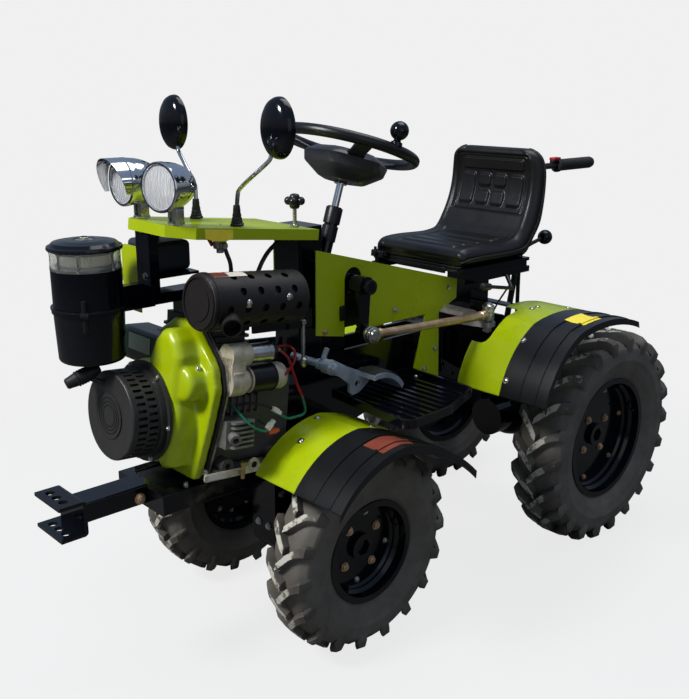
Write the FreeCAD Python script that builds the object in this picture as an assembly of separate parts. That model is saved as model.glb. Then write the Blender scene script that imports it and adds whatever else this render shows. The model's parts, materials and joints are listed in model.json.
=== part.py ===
import FreeCAD, Part
import math
import os

from FreeCAD import Vector, Rotation, Placement

os.makedirs("parts", exist_ok=True)

# Ride-on mini tractor with an articulated frame. All sizes in millimetres.
# +X is the machine's left, -Y is its front, +Z is up, and the floor is z = 0.
# Places along the machine are measured from the front axle, and the finished
# pieces are moved by -ORIGIN_Y so that the origin stands under the middle.

ORIGIN_Y = 293.4

# ---- wheels
WHEELBASE = 929.0
FRONT_TYRE_R = 258.0
FRONT_TYRE_W = 125.0
FRONT_TYRE_X = 256.0          # middle of the tyre from the centre plane
FRONT_RIM_R = 131.0           # edge of the rim flange
REAR_TYRE_R = 320.0
REAR_TYRE_W = 150.0
REAR_TYRE_X = 303.0
REAR_RIM_R = 183.0
FRONT_RIM_W = 84.0            # between the flanges
REAR_RIM_W = 98.0
RIM_T = 4.0                   # rim sheet
RIM_DROP = 8.0                # depth of the well between the bead seats
DISC_T = 7.0
FLANGE_H = 12.0               # rim flange above the bead seat
SPINDLE_R = 15.0
HUB_R = 38.0
HUB_RING_R = 34.0             # boss with the hexagon socket
HUB_RING_T = 12.0
BOLT_PHASE = 36.5             # first hub bolt, in degrees from the back towards the top
BOLT_HOLE_R = 6.0
HUB_REACH = 62.0              # front hub, from the disc inwards
REAR_HUB_REACH = 78.0
FRONT_BOLTS = 64.0            # radius of the hub bolt circle
REAR_BOLTS = 64.0
HUB_GAP = 5.0                 # between an axle tube and the turning hub
FIT = 0.3                     # running fit of pins and shafts, and between seated faces

# ---- front frame and hitch
BEAM_W = 70.0
BEAM_H = 45.0
BEAM_TOP = 477.0
BEAM_FRONT = -600.0
RAIL_W = 34.0
RAIL_H = 50.0
RAIL_TOP = 468.0
RAIL_X = 78.0                 # middle of each rail
BRACKET_W = 112.0
BRACKET_H = 80.0
BRACKET_T = 8.0
BRACKET_DEPTH = 62.0
PIN_R = 10.0
PIN_PITCH = 30.0

# ---- articulation
PIVOT_Y = 530.0
PIVOT_R = 34.0
PIVOT_PIN_R = 15.0
PIVOT_LOW = 556.0
PIVOT_HIGH = 660.0
EAR_T = 18.0
PIVOT_GAP = 2.0

# ---- engine
ENGINE_PITCH = 5.5            # the engine leans back, nose up, by this many degrees
CRANK_Y = -503.0              # face of the starter cover
CRANK_Z = 644.0
COVER_R = 98.0
ENGINE_BACK = -103.0          # rear face of the crankcase
ENGINE_FOOT_Y = -303.0
ENGINE_FOOT_Z = 512.0
ENGINE_HEAD_Z = 850.0
HEAD_BACK = -176.0            # rear edge of the cooling fins
HEAD_SIDE = 46.0              # left side of the cylinder head
CASE_HALF = 118.0
PLATE_BACK = -322.0           # rear face of the engine's front plate
PLATE_SHEET = 5.0
SEAL_T = 6.0
VOLUTE_R = 118.0
NECK_LEFT = [(-70, 700), (-14, 712), (2, 768), (24, 814), (48, 838)]    # right-hand edge of the raised neck
LOBE_R = 40.0
COWL_EDGE = 24.0              # depth of the cowl's mounting edge
COWL_ROUND = 20.0
COWL_CORNER = 14.0
SLOT_COUNT = 40
STARTER_X = 160.0
STARTER_Z = 735.0
GUARD_HOLE_R = 8.5
MUFFLER_R = 60.0
MUFFLER_X = 140.0
MUFFLER_Z = 907.0
MUFFLER_L = 255.0

# ---- air cleaner
CLEANER_X = -50.0
CLEANER_Y = -505.0
CLEANER_R = 74.0
CLEANER_BASE = 762.0

# ---- console
PLATE_HALF = 118.0
PLATE_FRONT = -388.0
PLATE_REAR = -6.0
PLATE_PITCH = 6.3
PLATE_REAR_Z = 1006.0
PLATE_T = 3.0
PLATE_FLANGE = 24.0
POST_Y = -381.0
POST_D = 24.0
POST_X0 = -56.0
POST_X1 = -4.0
TANK_X0 = -160.0
TANK_X1 = -38.0
TANK_Y0 = -345.0
TANK_Y1 = -250.0
TANK_Z = 925.0
TANK_H = 66.0
LAMP_X = 67.0
LAMP_Y = -395.0
LAMP_Z = 1125.0
LAMP_R = 50.0
LAMP_DEPTH = 88.0
MIRROR_W = 96.0
MIRROR_H = 124.0

# ---- side panels and steering
PANEL_X = 105.0
PANEL_T = 3.0
PITMAN_Y = 115.0
PITMAN_Z = 862.0
PITMAN_L = 115.0
PITMAN_X = 140.0
LINK_X = 172.0
LINK_R = 10.5
LINK_BACK_Y = 560.0
LINK_BACK_Z = 722.0
LEVER_Z = 690.0               # underside of the steering lever
LEVER_T = 14.0
AXLE_SEAT = REAR_TYRE_R + 100.0    # where the rear frame stands on the axle
SEAT_RAIL_Z = 820.0
COLUMN_LEAN = 18.0
COLUMN_Y = 118.0              # where the column axis meets COLUMN_Z
COLUMN_Z = 930.0
RING_UP = 256.0
RING_R = 164.0
RING_TUBE = 13.5
HUB_PAD_R = 88.0
SPOKE_PHASE = 90.0            # first spoke, in degrees from the left towards the back
KNOB_PHASE = -3.0
KNOB_R = 22.0

# ---- fenders
FENDER_T = 3.0
FENDER_LIP = 16.0
FENDER_IN_FRONT = 152.0
FENDER_IN_REAR = 170.0
FENDER_SEAM_FRONT = 288.0
FENDER_SEAM_REAR = 310.0
FENDER_OUT_FRONT = 436.0
FENDER_OUT_REAR = 452.0
FENDER_CHORD = 440.0
FENDER_RISE = 112.0
FRONT_FENDER_Y = -230.0       # front lower edge
FRONT_FENDER_Z = FRONT_TYRE_R + 218.0
FRONT_FENDER_TILT = -3.7
REAR_FENDER_Y = WHEELBASE - 482.0
REAR_FENDER_Z = REAR_TYRE_R + 230.0
REAR_FENDER_TILT = 20.3

FOOTBOARD_Z = FRONT_FENDER_Z + 121.0
PEDAL_RISE = FOOTBOARD_Z - 597.0   # the pedal stands as much higher as the footboard
BACKBONE_TOP = 680.0
GEARBOX_HALF = 46.0
CHEEK_T = 10.0

# ---- seat
SEAT_HALF = 165.0
SEAT_FRONT = 425.0
SEAT_REAR = 735.0
SEAT_PAN_Z = 860.0
SEAT_RAIL_X = 160.0
SEAT_TOP = 1150.0
HITCH_PIN_R = 11.0


def box(x0, x1, y0, y1, z0, z1):
    return Part.makeBox(x1 - x0, y1 - y0, z1 - z0, Vector(x0, y0, z0))


def rod(start, end, radius):
    """A round bar from one point to another."""
    a = Vector(*start)
    axis = Vector(*end) - a
    return Part.makeCylinder(radius, axis.Length, a, axis)


def line(a, b):
    return Part.makeLine(Vector(*a), Vector(*b))


def arc(a, b, c):
    return Part.Arc(Vector(*a), Vector(*b), Vector(*c)).toShape()


def closed_face(edges):
    return Part.Face(Part.Wire(Part.__sortEdges__(edges)))


def tube(start, end, radius, wall):
    a = Vector(*start)
    axis = Vector(*end) - a
    outer = Part.makeCylinder(radius, axis.Length, a, axis)
    return outer.cut(Part.makeCylinder(radius - wall, axis.Length, a, axis))


def join(shapes):
    whole = shapes[0]
    for shape in shapes[1:]:
        whole = whole.fuse(shape)
    return whole.removeSplitter()


def cable(route, radius, bend):
    """A round cable along straight runs joined by arcs that touch them."""
    spots = [Vector(*spot) for spot in route]
    edges = []
    start = spots[0]
    for before, corner, after in zip(spots, spots[1:], spots[2:]):
        back, ahead = (before - corner).normalize(), (after - corner).normalize()
        half = math.pi / 2 - math.acos(max(-1.0, min(1.0, back.dot(ahead)))) / 2
        reach = bend * math.tan(half)
        inward = (back + ahead).normalize()
        low, high = corner + back * reach, corner + ahead * reach
        edges.append(Part.makeLine(start, low))
        edges.append(Part.Arc(low, corner + inward * (bend / math.cos(half) - bend), high).toShape())
        start = high
    edges.append(Part.makeLine(start, spots[-1]))
    section = Part.Wire(Part.makeCircle(radius, spots[0], spots[1] - spots[0]))
    return Part.Wire(edges).makePipeShell([section], True, True)


def polygon_x(points, x0, x1):
    """A flat outline of (y, z) points, extruded from x0 to x1."""
    wire = Part.makePolygon([Vector(x0, y, z) for y, z in points] + [Vector(x0, *points[0])])
    return Part.Face(wire).extrude(Vector(x1 - x0, 0, 0))


def polygon_z(points, z0, z1):
    """A flat outline of (x, y) points, extruded from z0 to z1."""
    wire = Part.makePolygon([Vector(x, y, z0) for x, y in points] + [Vector(*points[0], z0)])
    return Part.Face(wire).extrude(Vector(0, 0, z1 - z0))


def polygon_y(points, y0, y1):
    """A flat outline of (x, z) points, extruded from y0 to y1."""
    wire = Part.makePolygon([Vector(x, y0, z) for x, z in points]
                            + [Vector(points[0][0], y0, points[0][1])])
    return Part.Face(wire).extrude(Vector(0, y1 - y0, 0))


def mirrored(shape):
    """The same piece on the machine's other side."""
    return shape.mirror(Vector(0, 0, 0), Vector(1, 0, 0))


def regular(count, radius, first=0.0):
    """Corners of a regular polygon round the origin."""
    turns = [math.radians(first + 360.0 / count * index) for index in range(count)]
    return [(radius * math.cos(turn), radius * math.sin(turn)) for turn in turns]


def turned(shape, centre, axis, degrees):
    copy = shape.copy()
    copy.rotate(Vector(*centre), Vector(*axis), degrees)
    return copy


def rounded(shape, radius, wanted):
    """Fillets the edges that the test picks."""
    edges = [edge for edge in shape.Edges if wanted(edge)]
    return shape.makeFillet(radius, edges) if edges else shape


def along(edge, axis):
    """True for a straight edge that runs along the given axis."""
    if not isinstance(edge.Curve, (Part.Line, Part.LineSegment)):
        return False
    direction = edge.Vertexes[1].Point - edge.Vertexes[0].Point
    return direction.Length > 0 and abs(direction.dot(Vector(*axis))) > 0.999 * direction.Length


def engine_tilt(shape):
    return turned(shape, (0, CRANK_Y, CRANK_Z), (1, 0, 0), -ENGINE_PITCH)


# ------------------------------------------------------------------ wheels

def spun(edges):
    """A closed outline in the XZ plane, spun about the X axis."""
    wire = Part.Wire(Part.__sortEdges__(edges))
    return Part.Face(wire).revolve(Vector(0, 0, 0), Vector(1, 0, 0), 360)


def outline_edges(points):
    """Straight edges round a closed list of (x, r) points in the XZ plane."""
    corners = [Vector(x, 0, r) for x, r in points]
    return [Part.makeLine(a, b) for a, b in zip(corners, corners[1:] + corners[:1])]


def tyre(radius, width, rim_radius, rim_width):
    """A pneumatic tyre as far out as the tips of its lugs, its axis along X."""
    bead = rim_radius - FLANGE_H
    foot = rim_width / 2 - FIT
    half = width / 2
    lip = rim_radius + 2
    wall = radius - lip
    side = [(foot, bead), (foot, lip), (half - 7, lip + 0.16 * wall), (half, lip + 0.42 * wall),
            (half - 1, lip + 0.66 * wall), (half - 7, radius - 13), (half - 20, radius - 4),
            (half - 38, radius)]
    return spun(outline_edges(side + [(-x, r) for x, r in reversed(side)]))


def rim(rim_radius, rim_width, hub_inner, bolt_circle):
    """Stepped drop-centre barrel with its flanges, a flat disc at the middle and the hub behind it."""
    half = rim_width / 2
    seat = rim_radius - FLANGE_H - FIT
    drop = seat - RIM_DROP
    disc = DISC_T / 2
    outer = [(-half - RIM_T, rim_radius), (-half, rim_radius), (-half, seat), (-half + 13, seat),
             (-half + 19, drop), (half - 25, drop), (half - 17, seat), (half, seat), (half, rim_radius),
             (half + RIM_T, rim_radius)]
    inner = [(half + RIM_T, seat - RIM_T), (half - 19, seat - RIM_T), (half - 27, drop - RIM_T),
             (disc + 6, drop - RIM_T), (disc, drop - RIM_T - 6), (disc, 0), (-disc, 0),
             (-disc, drop - RIM_T), (-half + 21, drop - RIM_T), (-half + 15, seat - RIM_T),
             (-half - RIM_T, seat - RIM_T)]
    body = spun(outline_edges(outer + inner))
    lips = [edge for edge in body.Edges if edge.BoundBox.ZMax > rim_radius - 0.01]
    body = body.makeChamfer(RIM_T * 0.3, lips)
    hub_flange = rod((-disc - 9, 0, 0), (-disc, 0, 0), bolt_circle + 15)
    hub = join([rod((hub_inner, 0, 0), (-disc, 0, 0), HUB_R), hub_flange])
    hub = hub.cut(rod((hub_inner - 1, 0, 0), (-disc, 0, 0), SPINDLE_R + FIT))
    ring = rod((disc, 0, 0), (disc + HUB_RING_T, 0, 0), HUB_RING_R)
    socket = polygon_x(regular(6, HUB_RING_R * 0.62), disc + 2, disc + HUB_RING_T + 1)
    holes = []
    for index in range(4):
        angle = math.radians(BOLT_PHASE + 90 * index)
        y, z = bolt_circle * math.cos(angle), bolt_circle * math.sin(angle)
        holes.append(rod((-disc - 10, y, z), (disc + 1, y, z), BOLT_HOLE_R))
    return join([body, hub, ring.cut(socket)]).cut(Part.makeCompound(holes))


def wheels(pieces):
    rows = (("front", 0.0, FRONT_TYRE_R, FRONT_TYRE_W, FRONT_TYRE_X, FRONT_RIM_R, FRONT_RIM_W, HUB_REACH,
             FRONT_BOLTS),
            ("rear", WHEELBASE, REAR_TYRE_R, REAR_TYRE_W, REAR_TYRE_X, REAR_RIM_R, REAR_RIM_W, REAR_HUB_REACH,
             REAR_BOLTS))
    for name, y, radius, width, middle, rim_radius, rim_width, reach, bolts in rows:
        rubber = tyre(radius, width, rim_radius, rim_width)
        metal = rim(rim_radius, rim_width, -reach, bolts)
        for side, shapes in (("left", (rubber, metal)), ("right", (mirrored(rubber), mirrored(metal)))):
            sign = 1 if side == "left" else -1
            for kind, shape in zip(("tyre", "rim"), shapes):
                copy = shape.copy()
                copy.translate(Vector(sign * middle, y, radius))
                pieces["%s_%s_%s" % (name, kind, side)] = copy


# ------------------------------------------------------------------ front half

def front_frame():
    """Two rails under the engine, cross bars, and the backbone that ends in the pivot yoke."""
    low = RAIL_TOP - RAIL_H
    parts = [box(-RAIL_X, RAIL_X, -440, -416, low, RAIL_TOP), box(-RAIL_X, RAIL_X, -88, -62, low, RAIL_TOP)]
    front = engine_point(ENGINE_FOOT_Y, ENGINE_FOOT_Z)
    back = engine_point(ENGINE_FOOT_Y + 180, ENGINE_FOOT_Z)
    wedge = [(front[0], RAIL_TOP - 5), (front[0], front[1] - FIT), (back[0], back[1] - FIT),
             (back[0], RAIL_TOP - 5)]
    yoke_y = PIVOT_Y - PIVOT_R - 12
    fender = fender_space(FRONT_FENDER_Y, FRONT_FENDER_Z, FRONT_FENDER_TILT)
    low_ear = PIVOT_LOW - PIVOT_GAP - EAR_T
    high_ear = PIVOT_HIGH + PIVOT_GAP
    cheek = [(-88, low + 4), (-88, 496), (-28, 496), (-28, 715), (-12, BACKBONE_TOP),
             (yoke_y, BACKBONE_TOP), (yoke_y, low_ear), (300, 520), (120, 470), (-30, low + 4)]
    for side in (1, -1):
        x = side * RAIL_X
        rail = box(x - RAIL_W / 2, x + RAIL_W / 2, -440, -62, low, RAIL_TOP)
        parts.append(rounded(rail, 5, lambda edge: along(edge, (0, 1, 0))))
        parts.append(polygon_x(wedge, x - RAIL_W / 2, x + RAIL_W / 2))
        inner, outer = side * (GEARBOX_HALF + FIT), side * (GEARBOX_HALF + FIT + CHEEK_T)
        parts.append(polygon_x(cheek, inner, outer))
        # brackets under the front fender and the footboard, and spacers for the side panel
        bar = box(50, 300, -22, 8, FRONT_FENDER_Z + 80, FRONT_FENDER_Z + 124).cut(fender)
        parts.append(bar if side > 0 else mirrored(bar))
        parts.append(box(min(side * 50, side * 320), max(side * 50, side * 320), 176, 206,
                         FOOTBOARD_Z - 16, FOOTBOARD_Z - 6 - FIT))
        for y, z in ((400, 640), (372, 596)):
            parts.append(rod((side * 50, y, z), (side * (PANEL_X - PANEL_T - FIT), y, z), 9))
    half = GEARBOX_HALF + FIT + CHEEK_T
    parts.append(box(-half, half, yoke_y - 16, yoke_y, low_ear, high_ear + EAR_T))
    for z0 in (low_ear, high_ear):
        ear = box(-PIVOT_R - 4, PIVOT_R + 4, yoke_y - 16, PIVOT_Y, z0, z0 + EAR_T)
        parts.append(ear.fuse(Part.makeCylinder(PIVOT_R + 4, EAR_T, Vector(0, PIVOT_Y, z0))))
    parts.append(rod((0, PIVOT_Y, low_ear - 8), (0, PIVOT_Y, high_ear + EAR_T + 4), PIVOT_PIN_R))
    return join(parts)


def hitch_beam():
    beam = box(-BEAM_W / 2, BEAM_W / 2, BEAM_FRONT, -440 - FIT, BEAM_TOP - BEAM_H, BEAM_TOP)
    beam = rounded(beam, 5, lambda edge: along(edge, (0, 1, 0)))
    bore = box(-BEAM_W / 2 + 5, BEAM_W / 2 - 5, BEAM_FRONT - 1, -460, BEAM_TOP - BEAM_H + 5, BEAM_TOP - 5)
    return beam.cut(bore)


def hitch_bracket():
    """A U of plate on the end of the beam, open to the front, with three pin holes in each leg."""
    back = BEAM_FRONT - 0.3
    low = BEAM_TOP - BEAM_H / 2 - BRACKET_H / 2
    high = low + BRACKET_H
    half = BRACKET_W / 2
    shape = box(-half, half, back - BRACKET_DEPTH, back, low, high)
    shape = rounded(shape, 9, lambda edge: along(edge, (1, 0, 0)) and edge.CenterOfMass.y > back - 1)
    shape = shape.cut(box(-half - 1, half + 1, back - BRACKET_DEPTH - 1, back - BRACKET_T,
                          low + BRACKET_T, high - BRACKET_T))
    for index in (-1, 0, 1):
        x, y = index * PIN_PITCH, back - BRACKET_DEPTH / 2 - 8
        shape = shape.cut(rod((x, y, low - 1), (x, y, high + 1), PIN_R))
    return shape


def gearbox():
    """The cast gearbox that carries the front axle, with the bell that takes the engine."""
    outline = [(-56, 405), (-56, 640), (-10, 670), (150, 670), (190, 610), (150, 420), (95, 190),
               (50, 160), (-50, 160), (-90, 200), (-90, 405)]
    body = polygon_x(outline, -GEARBOX_HALF, GEARBOX_HALF)
    body = rounded(body, 14, lambda edge: along(edge, (1, 0, 0)))
    bell = rod((0, ENGINE_BACK + FIT, CRANK_Z), (0, ENGINE_BACK + 62, CRANK_Z), 88)
    parts = [body, engine_tilt(bell)]
    for side in (1, -1):
        parts.append(rod((side * 30, 0, FRONT_TYRE_R), (side * 60, 0, FRONT_TYRE_R), 78))
    return join(parts)


def half_axle(start, y, z, middle, reach, radius, flange):
    """Axle tube, flange and the spindle that the hub turns on, on the +X side."""
    hub_inner = middle - reach
    return [rod((start, y, z), (hub_inner - HUB_GAP, y, z), radius),
            rod((start, y, z), (start + 12, y, z), flange),
            rod((start, y, z), (middle - DISC_T / 2 - 1, y, z), SPINDLE_R)]


def front_axle():
    half = join(half_axle(60 + FIT, 0, FRONT_TYRE_R, FRONT_TYRE_X, HUB_REACH, 32, 56))
    return Part.makeCompound([half, mirrored(half)])


def engine_point(y, z):
    """Where a place (y, z) on the level engine comes to when the engine is leant back."""
    angle = math.radians(ENGINE_PITCH)
    dy, dz = y - CRANK_Y, z - CRANK_Z
    return (CRANK_Y + dy * math.cos(angle) + dz * math.sin(angle),
            CRANK_Z + dz * math.cos(angle) - dy * math.sin(angle))


def engine_block():
    """Crankcase on its cast feet, finned cylinder, head and valve cover, as one heavy piece."""
    front = PLATE_BACK + FIT
    case = box(-CASE_HALF, CASE_HALF, front, ENGINE_BACK, ENGINE_FOOT_Z + 12, 730)
    case = rounded(case, 22, lambda edge: along(edge, (0, 1, 0)))
    feet = box(-152, 152, front + 4, ENGINE_FOOT_Y + 180, ENGINE_FOOT_Z, ENGINE_FOOT_Z + 15)
    feet = rounded(feet, 20, lambda edge: along(edge, (0, 0, 1)))
    parts = [case, feet]
    for side in (1, -1):
        for y in (front + 30, ENGINE_FOOT_Y + 150):
            z = ENGINE_FOOT_Z + 24
            eye = rod((side * (CASE_HALF - 6), y, z), (side * 148, y, z), 17)
            parts.append(eye.cut(rod((side * 90, y, z), (side * 150, y, z), 7)))
    # governor casting with its ribs on the left side
    casting = box(CASE_HALF - 4, 144, front + 22, front + 112, 656, 694)
    parts.append(rounded(casting, 8, lambda edge: along(edge, (0, 1, 0)) or along(edge, (1, 0, 0))))
    for index in range(5):
        y = front + 30 + 18 * index
        parts.append(box(CASE_HALF - 4, 149, y, y + 5, 653, 698))
    # finned cylinder, head and valve cover
    parts.append(box(-76, HEAD_SIDE, CRANK_Y + 187, HEAD_BACK - 8, 728, ENGINE_HEAD_Z))
    for index in range(6):
        z = 742 + 15 * index
        fin = box(-92, 60, CRANK_Y + 182, HEAD_BACK, z, z + 5)
        parts.append(rounded(fin, 14, lambda edge: along(edge, (0, 0, 1))))
    cover = box(-60, 30, CRANK_Y + 232, HEAD_BACK - 16, ENGINE_HEAD_Z, ENGINE_HEAD_Z + 22)
    parts.append(rounded(cover, 9, lambda edge: edge.BoundBox.ZMax > ENGINE_HEAD_Z + 1))
    return engine_tilt(join(parts))


def cowl_outline():
    """Mounting edge of the cowl, from the bottom round the starter side to the flywheel side."""
    return [(-100, 502), (113, 502), (154, 633), (176, 721), (163, 771), (97, 834), (64, 852), (14, 852),
            (-70, 800), (-112, 720), (-126, 640), (-118, 560)]


def cowl_slab(y0, y1, grow):
    """The cowl's mounting outline as a slab with rounded corners, grown by a margin."""
    points = [Vector(x, y0, z) for x, z in cowl_outline()]
    slab = Part.Face(Part.makePolygon(points + points[:1])).extrude(Vector(0, y1 - y0, 0))
    slab = rounded(slab, COWL_CORNER, lambda edge: along(edge, (0, 1, 0)))
    if not grow:
        return slab
    front = [face for face in slab.Faces if face.BoundBox.YMax < y0 + 0.01][0]
    return Part.Face(front.OuterWire.makeOffset2D(grow)).extrude(Vector(0, y1 - y0, 0))


def cooling_shroud():
    """Pressed cowl: volute round the flywheel, raised neck with a round lobe, flat mounting edge."""
    face = CRANK_Y + 88
    back = PLATE_BACK - PLATE_SHEET - SEAL_T - FIT
    rim_face = back - COWL_EDGE
    volute = rod((0, face, CRANK_Z), (0, back, CRANK_Z), VOLUTE_R)
    neck = polygon_y(NECK_LEFT + [(80, 842), (104, 822), (120, 786), (110, 690), (106, 600), (98, 536),
                                  (60, 524)], face, back)
    raised = join([volute, neck])
    raised = rounded(raised, COWL_ROUND, lambda edge: edge.BoundBox.YMax < face + 0.01)
    lobe = rod((112, face + 12, 728), (112, back, 728), LOBE_R)
    lobe = rounded(lobe, COWL_ROUND - 6, lambda edge: edge.BoundBox.YMax < face + 12.01)
    cowl = join([raised, lobe, cowl_slab(rim_face, back, 0)])
    bore = rod((0, face - 1, CRANK_Z), (0, face + 58, CRANK_Z), 85)
    return engine_tilt(cowl.cut(bore))


def engine_plate():
    """Back plate behind the cowl with its rubber seal."""
    seal_front = PLATE_BACK - PLATE_SHEET - SEAL_T
    seal = cowl_slab(seal_front, seal_front + SEAL_T, 3)
    sheet = cowl_slab(PLATE_BACK - PLATE_SHEET, PLATE_BACK, 5)
    opening = rod((0, seal_front - 1, CRANK_Z), (0, PLATE_BACK + 1, CRANK_Z), 70)
    return engine_tilt(join([seal, sheet]).cut(opening))


def engine_baffle():
    """Square-shouldered air duct beside the cowl's neck."""
    back = PLATE_BACK - PLATE_SHEET - SEAL_T - FIT
    low = box(-128, 30, CRANK_Y + 104, back, 736, 812)
    low = rounded(low, 9, lambda edge: edge.BoundBox.YMax < back - 1)
    face = CRANK_Y + 88
    space = rod((0, face, CRANK_Z), (0, back + 1, CRANK_Z), VOLUTE_R + FIT)
    neck = polygon_y([(x - 2 * FIT, z + FIT) for x, z in NECK_LEFT] + [(60, 900), (200, 900), (200, 690)],
                     face, back + 1)
    slab = cowl_slab(back - COWL_EDGE - FIT, back + 1, FIT)
    return engine_tilt(low.cut(join([space, neck, slab])))


def recoil_starter():
    """Drum with two rows of air slots, a flange, a plain raised disc on its face and a pull handle."""
    drum = rod((0, CRANK_Y, CRANK_Z), (0, CRANK_Y + 82, CRANK_Z), COVER_R)
    drum = rounded(drum, 5, lambda edge: edge.BoundBox.YMax < CRANK_Y + 0.01)
    flange = rod((0, CRANK_Y + 80, CRANK_Z), (0, CRANK_Y + 88 - FIT, CRANK_Z), COVER_R + 14)
    step = rod((0, CRANK_Y + 66, CRANK_Z), (0, CRANK_Y + 80, CRANK_Z), COVER_R + 4)
    hollow = rod((0, CRANK_Y + 6, CRANK_Z), (0, CRANK_Y + 89, CRANK_Z), COVER_R - 5)
    medallion = rod((0, CRANK_Y - 1.5, CRANK_Z), (0, CRANK_Y, CRANK_Z), 50)
    groove = tube((0, CRANK_Y - 2, CRANK_Z), (0, CRANK_Y + 1, CRANK_Z), 54, 4)
    shape = join([drum, flange, step]).cut(hollow).cut(groove).fuse(medallion)
    slots = []
    for row, first in ((CRANK_Y + 14, 0.0), (CRANK_Y + 40, 4.5)):
        for index in range(SLOT_COUNT):
            slot = box(COVER_R - 9, COVER_R + 1, row, row + 21, CRANK_Z - 3.2, CRANK_Z + 3.2)
            slots.append(turned(slot, (0, CRANK_Y, CRANK_Z), (0, 1, 0), first + 360.0 / SLOT_COUNT * index))
    shape = shape.cut(Part.makeCompound(slots))
    grip_out, grip_in = Vector(-38, CRANK_Y - 10, CRANK_Z + 96), Vector(-52, CRANK_Y - 70, CRANK_Z + 68)
    handle = rod(grip_out, grip_in, 11)
    handle = rounded(handle, 5, lambda edge: edge.Length < 80)
    stem = rod((-45, CRANK_Y - 38, CRANK_Z + 83), (-30, CRANK_Y + 9, CRANK_Z + 62), 6)
    return engine_tilt(join([shape, handle, stem]))


def muffler():
    """Silencer drum inside a guard of rolled sheet with helical rows of holes."""
    y0 = CRANK_Y + 118
    y1 = y0 + MUFFLER_L
    axis = lambda y: (MUFFLER_X, y, MUFFLER_Z)
    drum = rod(axis(y0 + 4), axis(y1 - 6), MUFFLER_R - 9)
    drum = rounded(drum, 6, lambda edge: True)
    guard = tube(axis(y0 + 14), axis(y1), MUFFLER_R, 2)
    hem = tube(axis(y0 + 14), axis(y0 + 20), MUFFLER_R + 2, 5)
    cap = rod(axis(y0 + 3), axis(y0 + 15), MUFFLER_R)
    cap = rounded(cap, 3, lambda edge: edge.BoundBox.YMax < y0 + 3.01)
    disc = tube(axis(y0), axis(y0 + 4), MUFFLER_R - 4, 5)
    boss = rod(axis(y0 + 1), axis(y0 + 4), MUFFLER_R - 22)
    rear = rod(axis(y1 - 8), axis(y1), MUFFLER_R - 1)
    rear = rounded(rear, 7, lambda edge: edge.BoundBox.YMin > y1 - 0.01)
    holes = []
    for row in range(10):
        for index in range(5):
            y = y0 + 42 + 46 * index + 9 * (row % 5)
            if y < y1 - 20:
                near, far = MUFFLER_X + MUFFLER_R - 6, MUFFLER_X + MUFFLER_R + 4
                hole = rod((near, y, MUFFLER_Z), (far, y, MUFFLER_Z), GUARD_HOLE_R)
                holes.append(turned(hole, axis(y), (0, 1, 0), 8 + 36 * row))
    guard = guard.cut(Part.makeCompound(holes))
    stub = rod((MUFFLER_X + 40, y0 + 54, MUFFLER_Z - 30), (MUFFLER_X + 78, y0 + 34, MUFFLER_Z - 42), 21)
    bore = rod((MUFFLER_X + 50, y0 + 49, MUFFLER_Z - 33), (MUFFLER_X + 82, y0 + 32, MUFFLER_Z - 43.5), 18)
    leg = box(HEAD_SIDE + FIT, 100, y0 + 120, y0 + 170, ENGINE_HEAD_Z - 21, MUFFLER_Z - 40)
    return engine_tilt(join([drum, guard, hem, cap, disc, boss, rear, leg, stub]).cut(bore))


def starter_motor():
    """Motor and solenoid side by side in one cast drive housing."""
    y0 = PLATE_BACK + FIT
    x, low, high = STARTER_X, STARTER_Z, STARTER_Z + 58
    can = rod((x, y0, low), (x, y0 + 46, low), 33)
    can = rounded(can, 6, lambda edge: edge.BoundBox.YMin > y0 + 45)
    cup = rod((x + 4, y0, high), (x + 4, y0 + 56, high), 26)
    cup = rounded(cup, 5, lambda edge: edge.BoundBox.YMin > y0 + 55)
    housing = join([can, cup, box(x - 22, x + 26, y0, y0 + 38, low, high)])
    snout = Part.makeCone(33, 20, 12, Vector(x, y0 + 46, low), Vector(0, 1, 0))
    solenoid = rod((x + 4, y0 + 50, high), (x + 4, y0 + 114, high), 22.5)
    cap = Part.makeCone(22, 17, 14, Vector(x + 4, y0 + 114, high), Vector(0, 1, 0))
    motor = rod((x, y0 + 40, low), (x, y0 + 122, low), 31)
    end = rod((x, y0 + 122, low), (x, y0 + 156, low), 30)
    end = rounded(end, 8, lambda edge: edge.BoundBox.YMin > y0 + 155)
    band = rod((x, y0 + 118, low), (x, y0 + 124, low), 32.5)
    terminals = [rod((x + 4 + dx, y0 + 126, high + 4), (x + 4 + dx, y0 + 138, high + 4), 4) for dx in (-9, 9)]
    foot = box(CASE_HALF + FIT, x, y0 + 60, y0 + 84, low - 9, low + 9)
    return engine_tilt(join([housing, snout, solenoid, cap, motor, end, band, foot] + terminals))


def injection_pump():
    """Finned light-alloy pump body with its delivery port."""
    y0 = PLATE_BACK + FIT
    low = 588.0
    core = box(CASE_HALF + FIT, 176, y0, y0 + 62, low, low + 62)
    parts = [core]
    for index in range(6):
        z = low + 2 + 11 * index
        fin = box(150, 190, y0 + 10, y0 + 70, z, z + 5)
        parts.append(rounded(fin, 9, lambda edge: along(edge, (0, 0, 1)) and edge.CenterOfMass.x > 180))
    port = rod((168, y0 + 20, low + 30), (196, y0 + 12, low + 24), 13)
    parts.append(port)
    pump = join(parts).cut(rod((180, y0 + 17, low + 27), (200, y0 + 11, low + 23), 7))
    return engine_tilt(pump)


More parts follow.
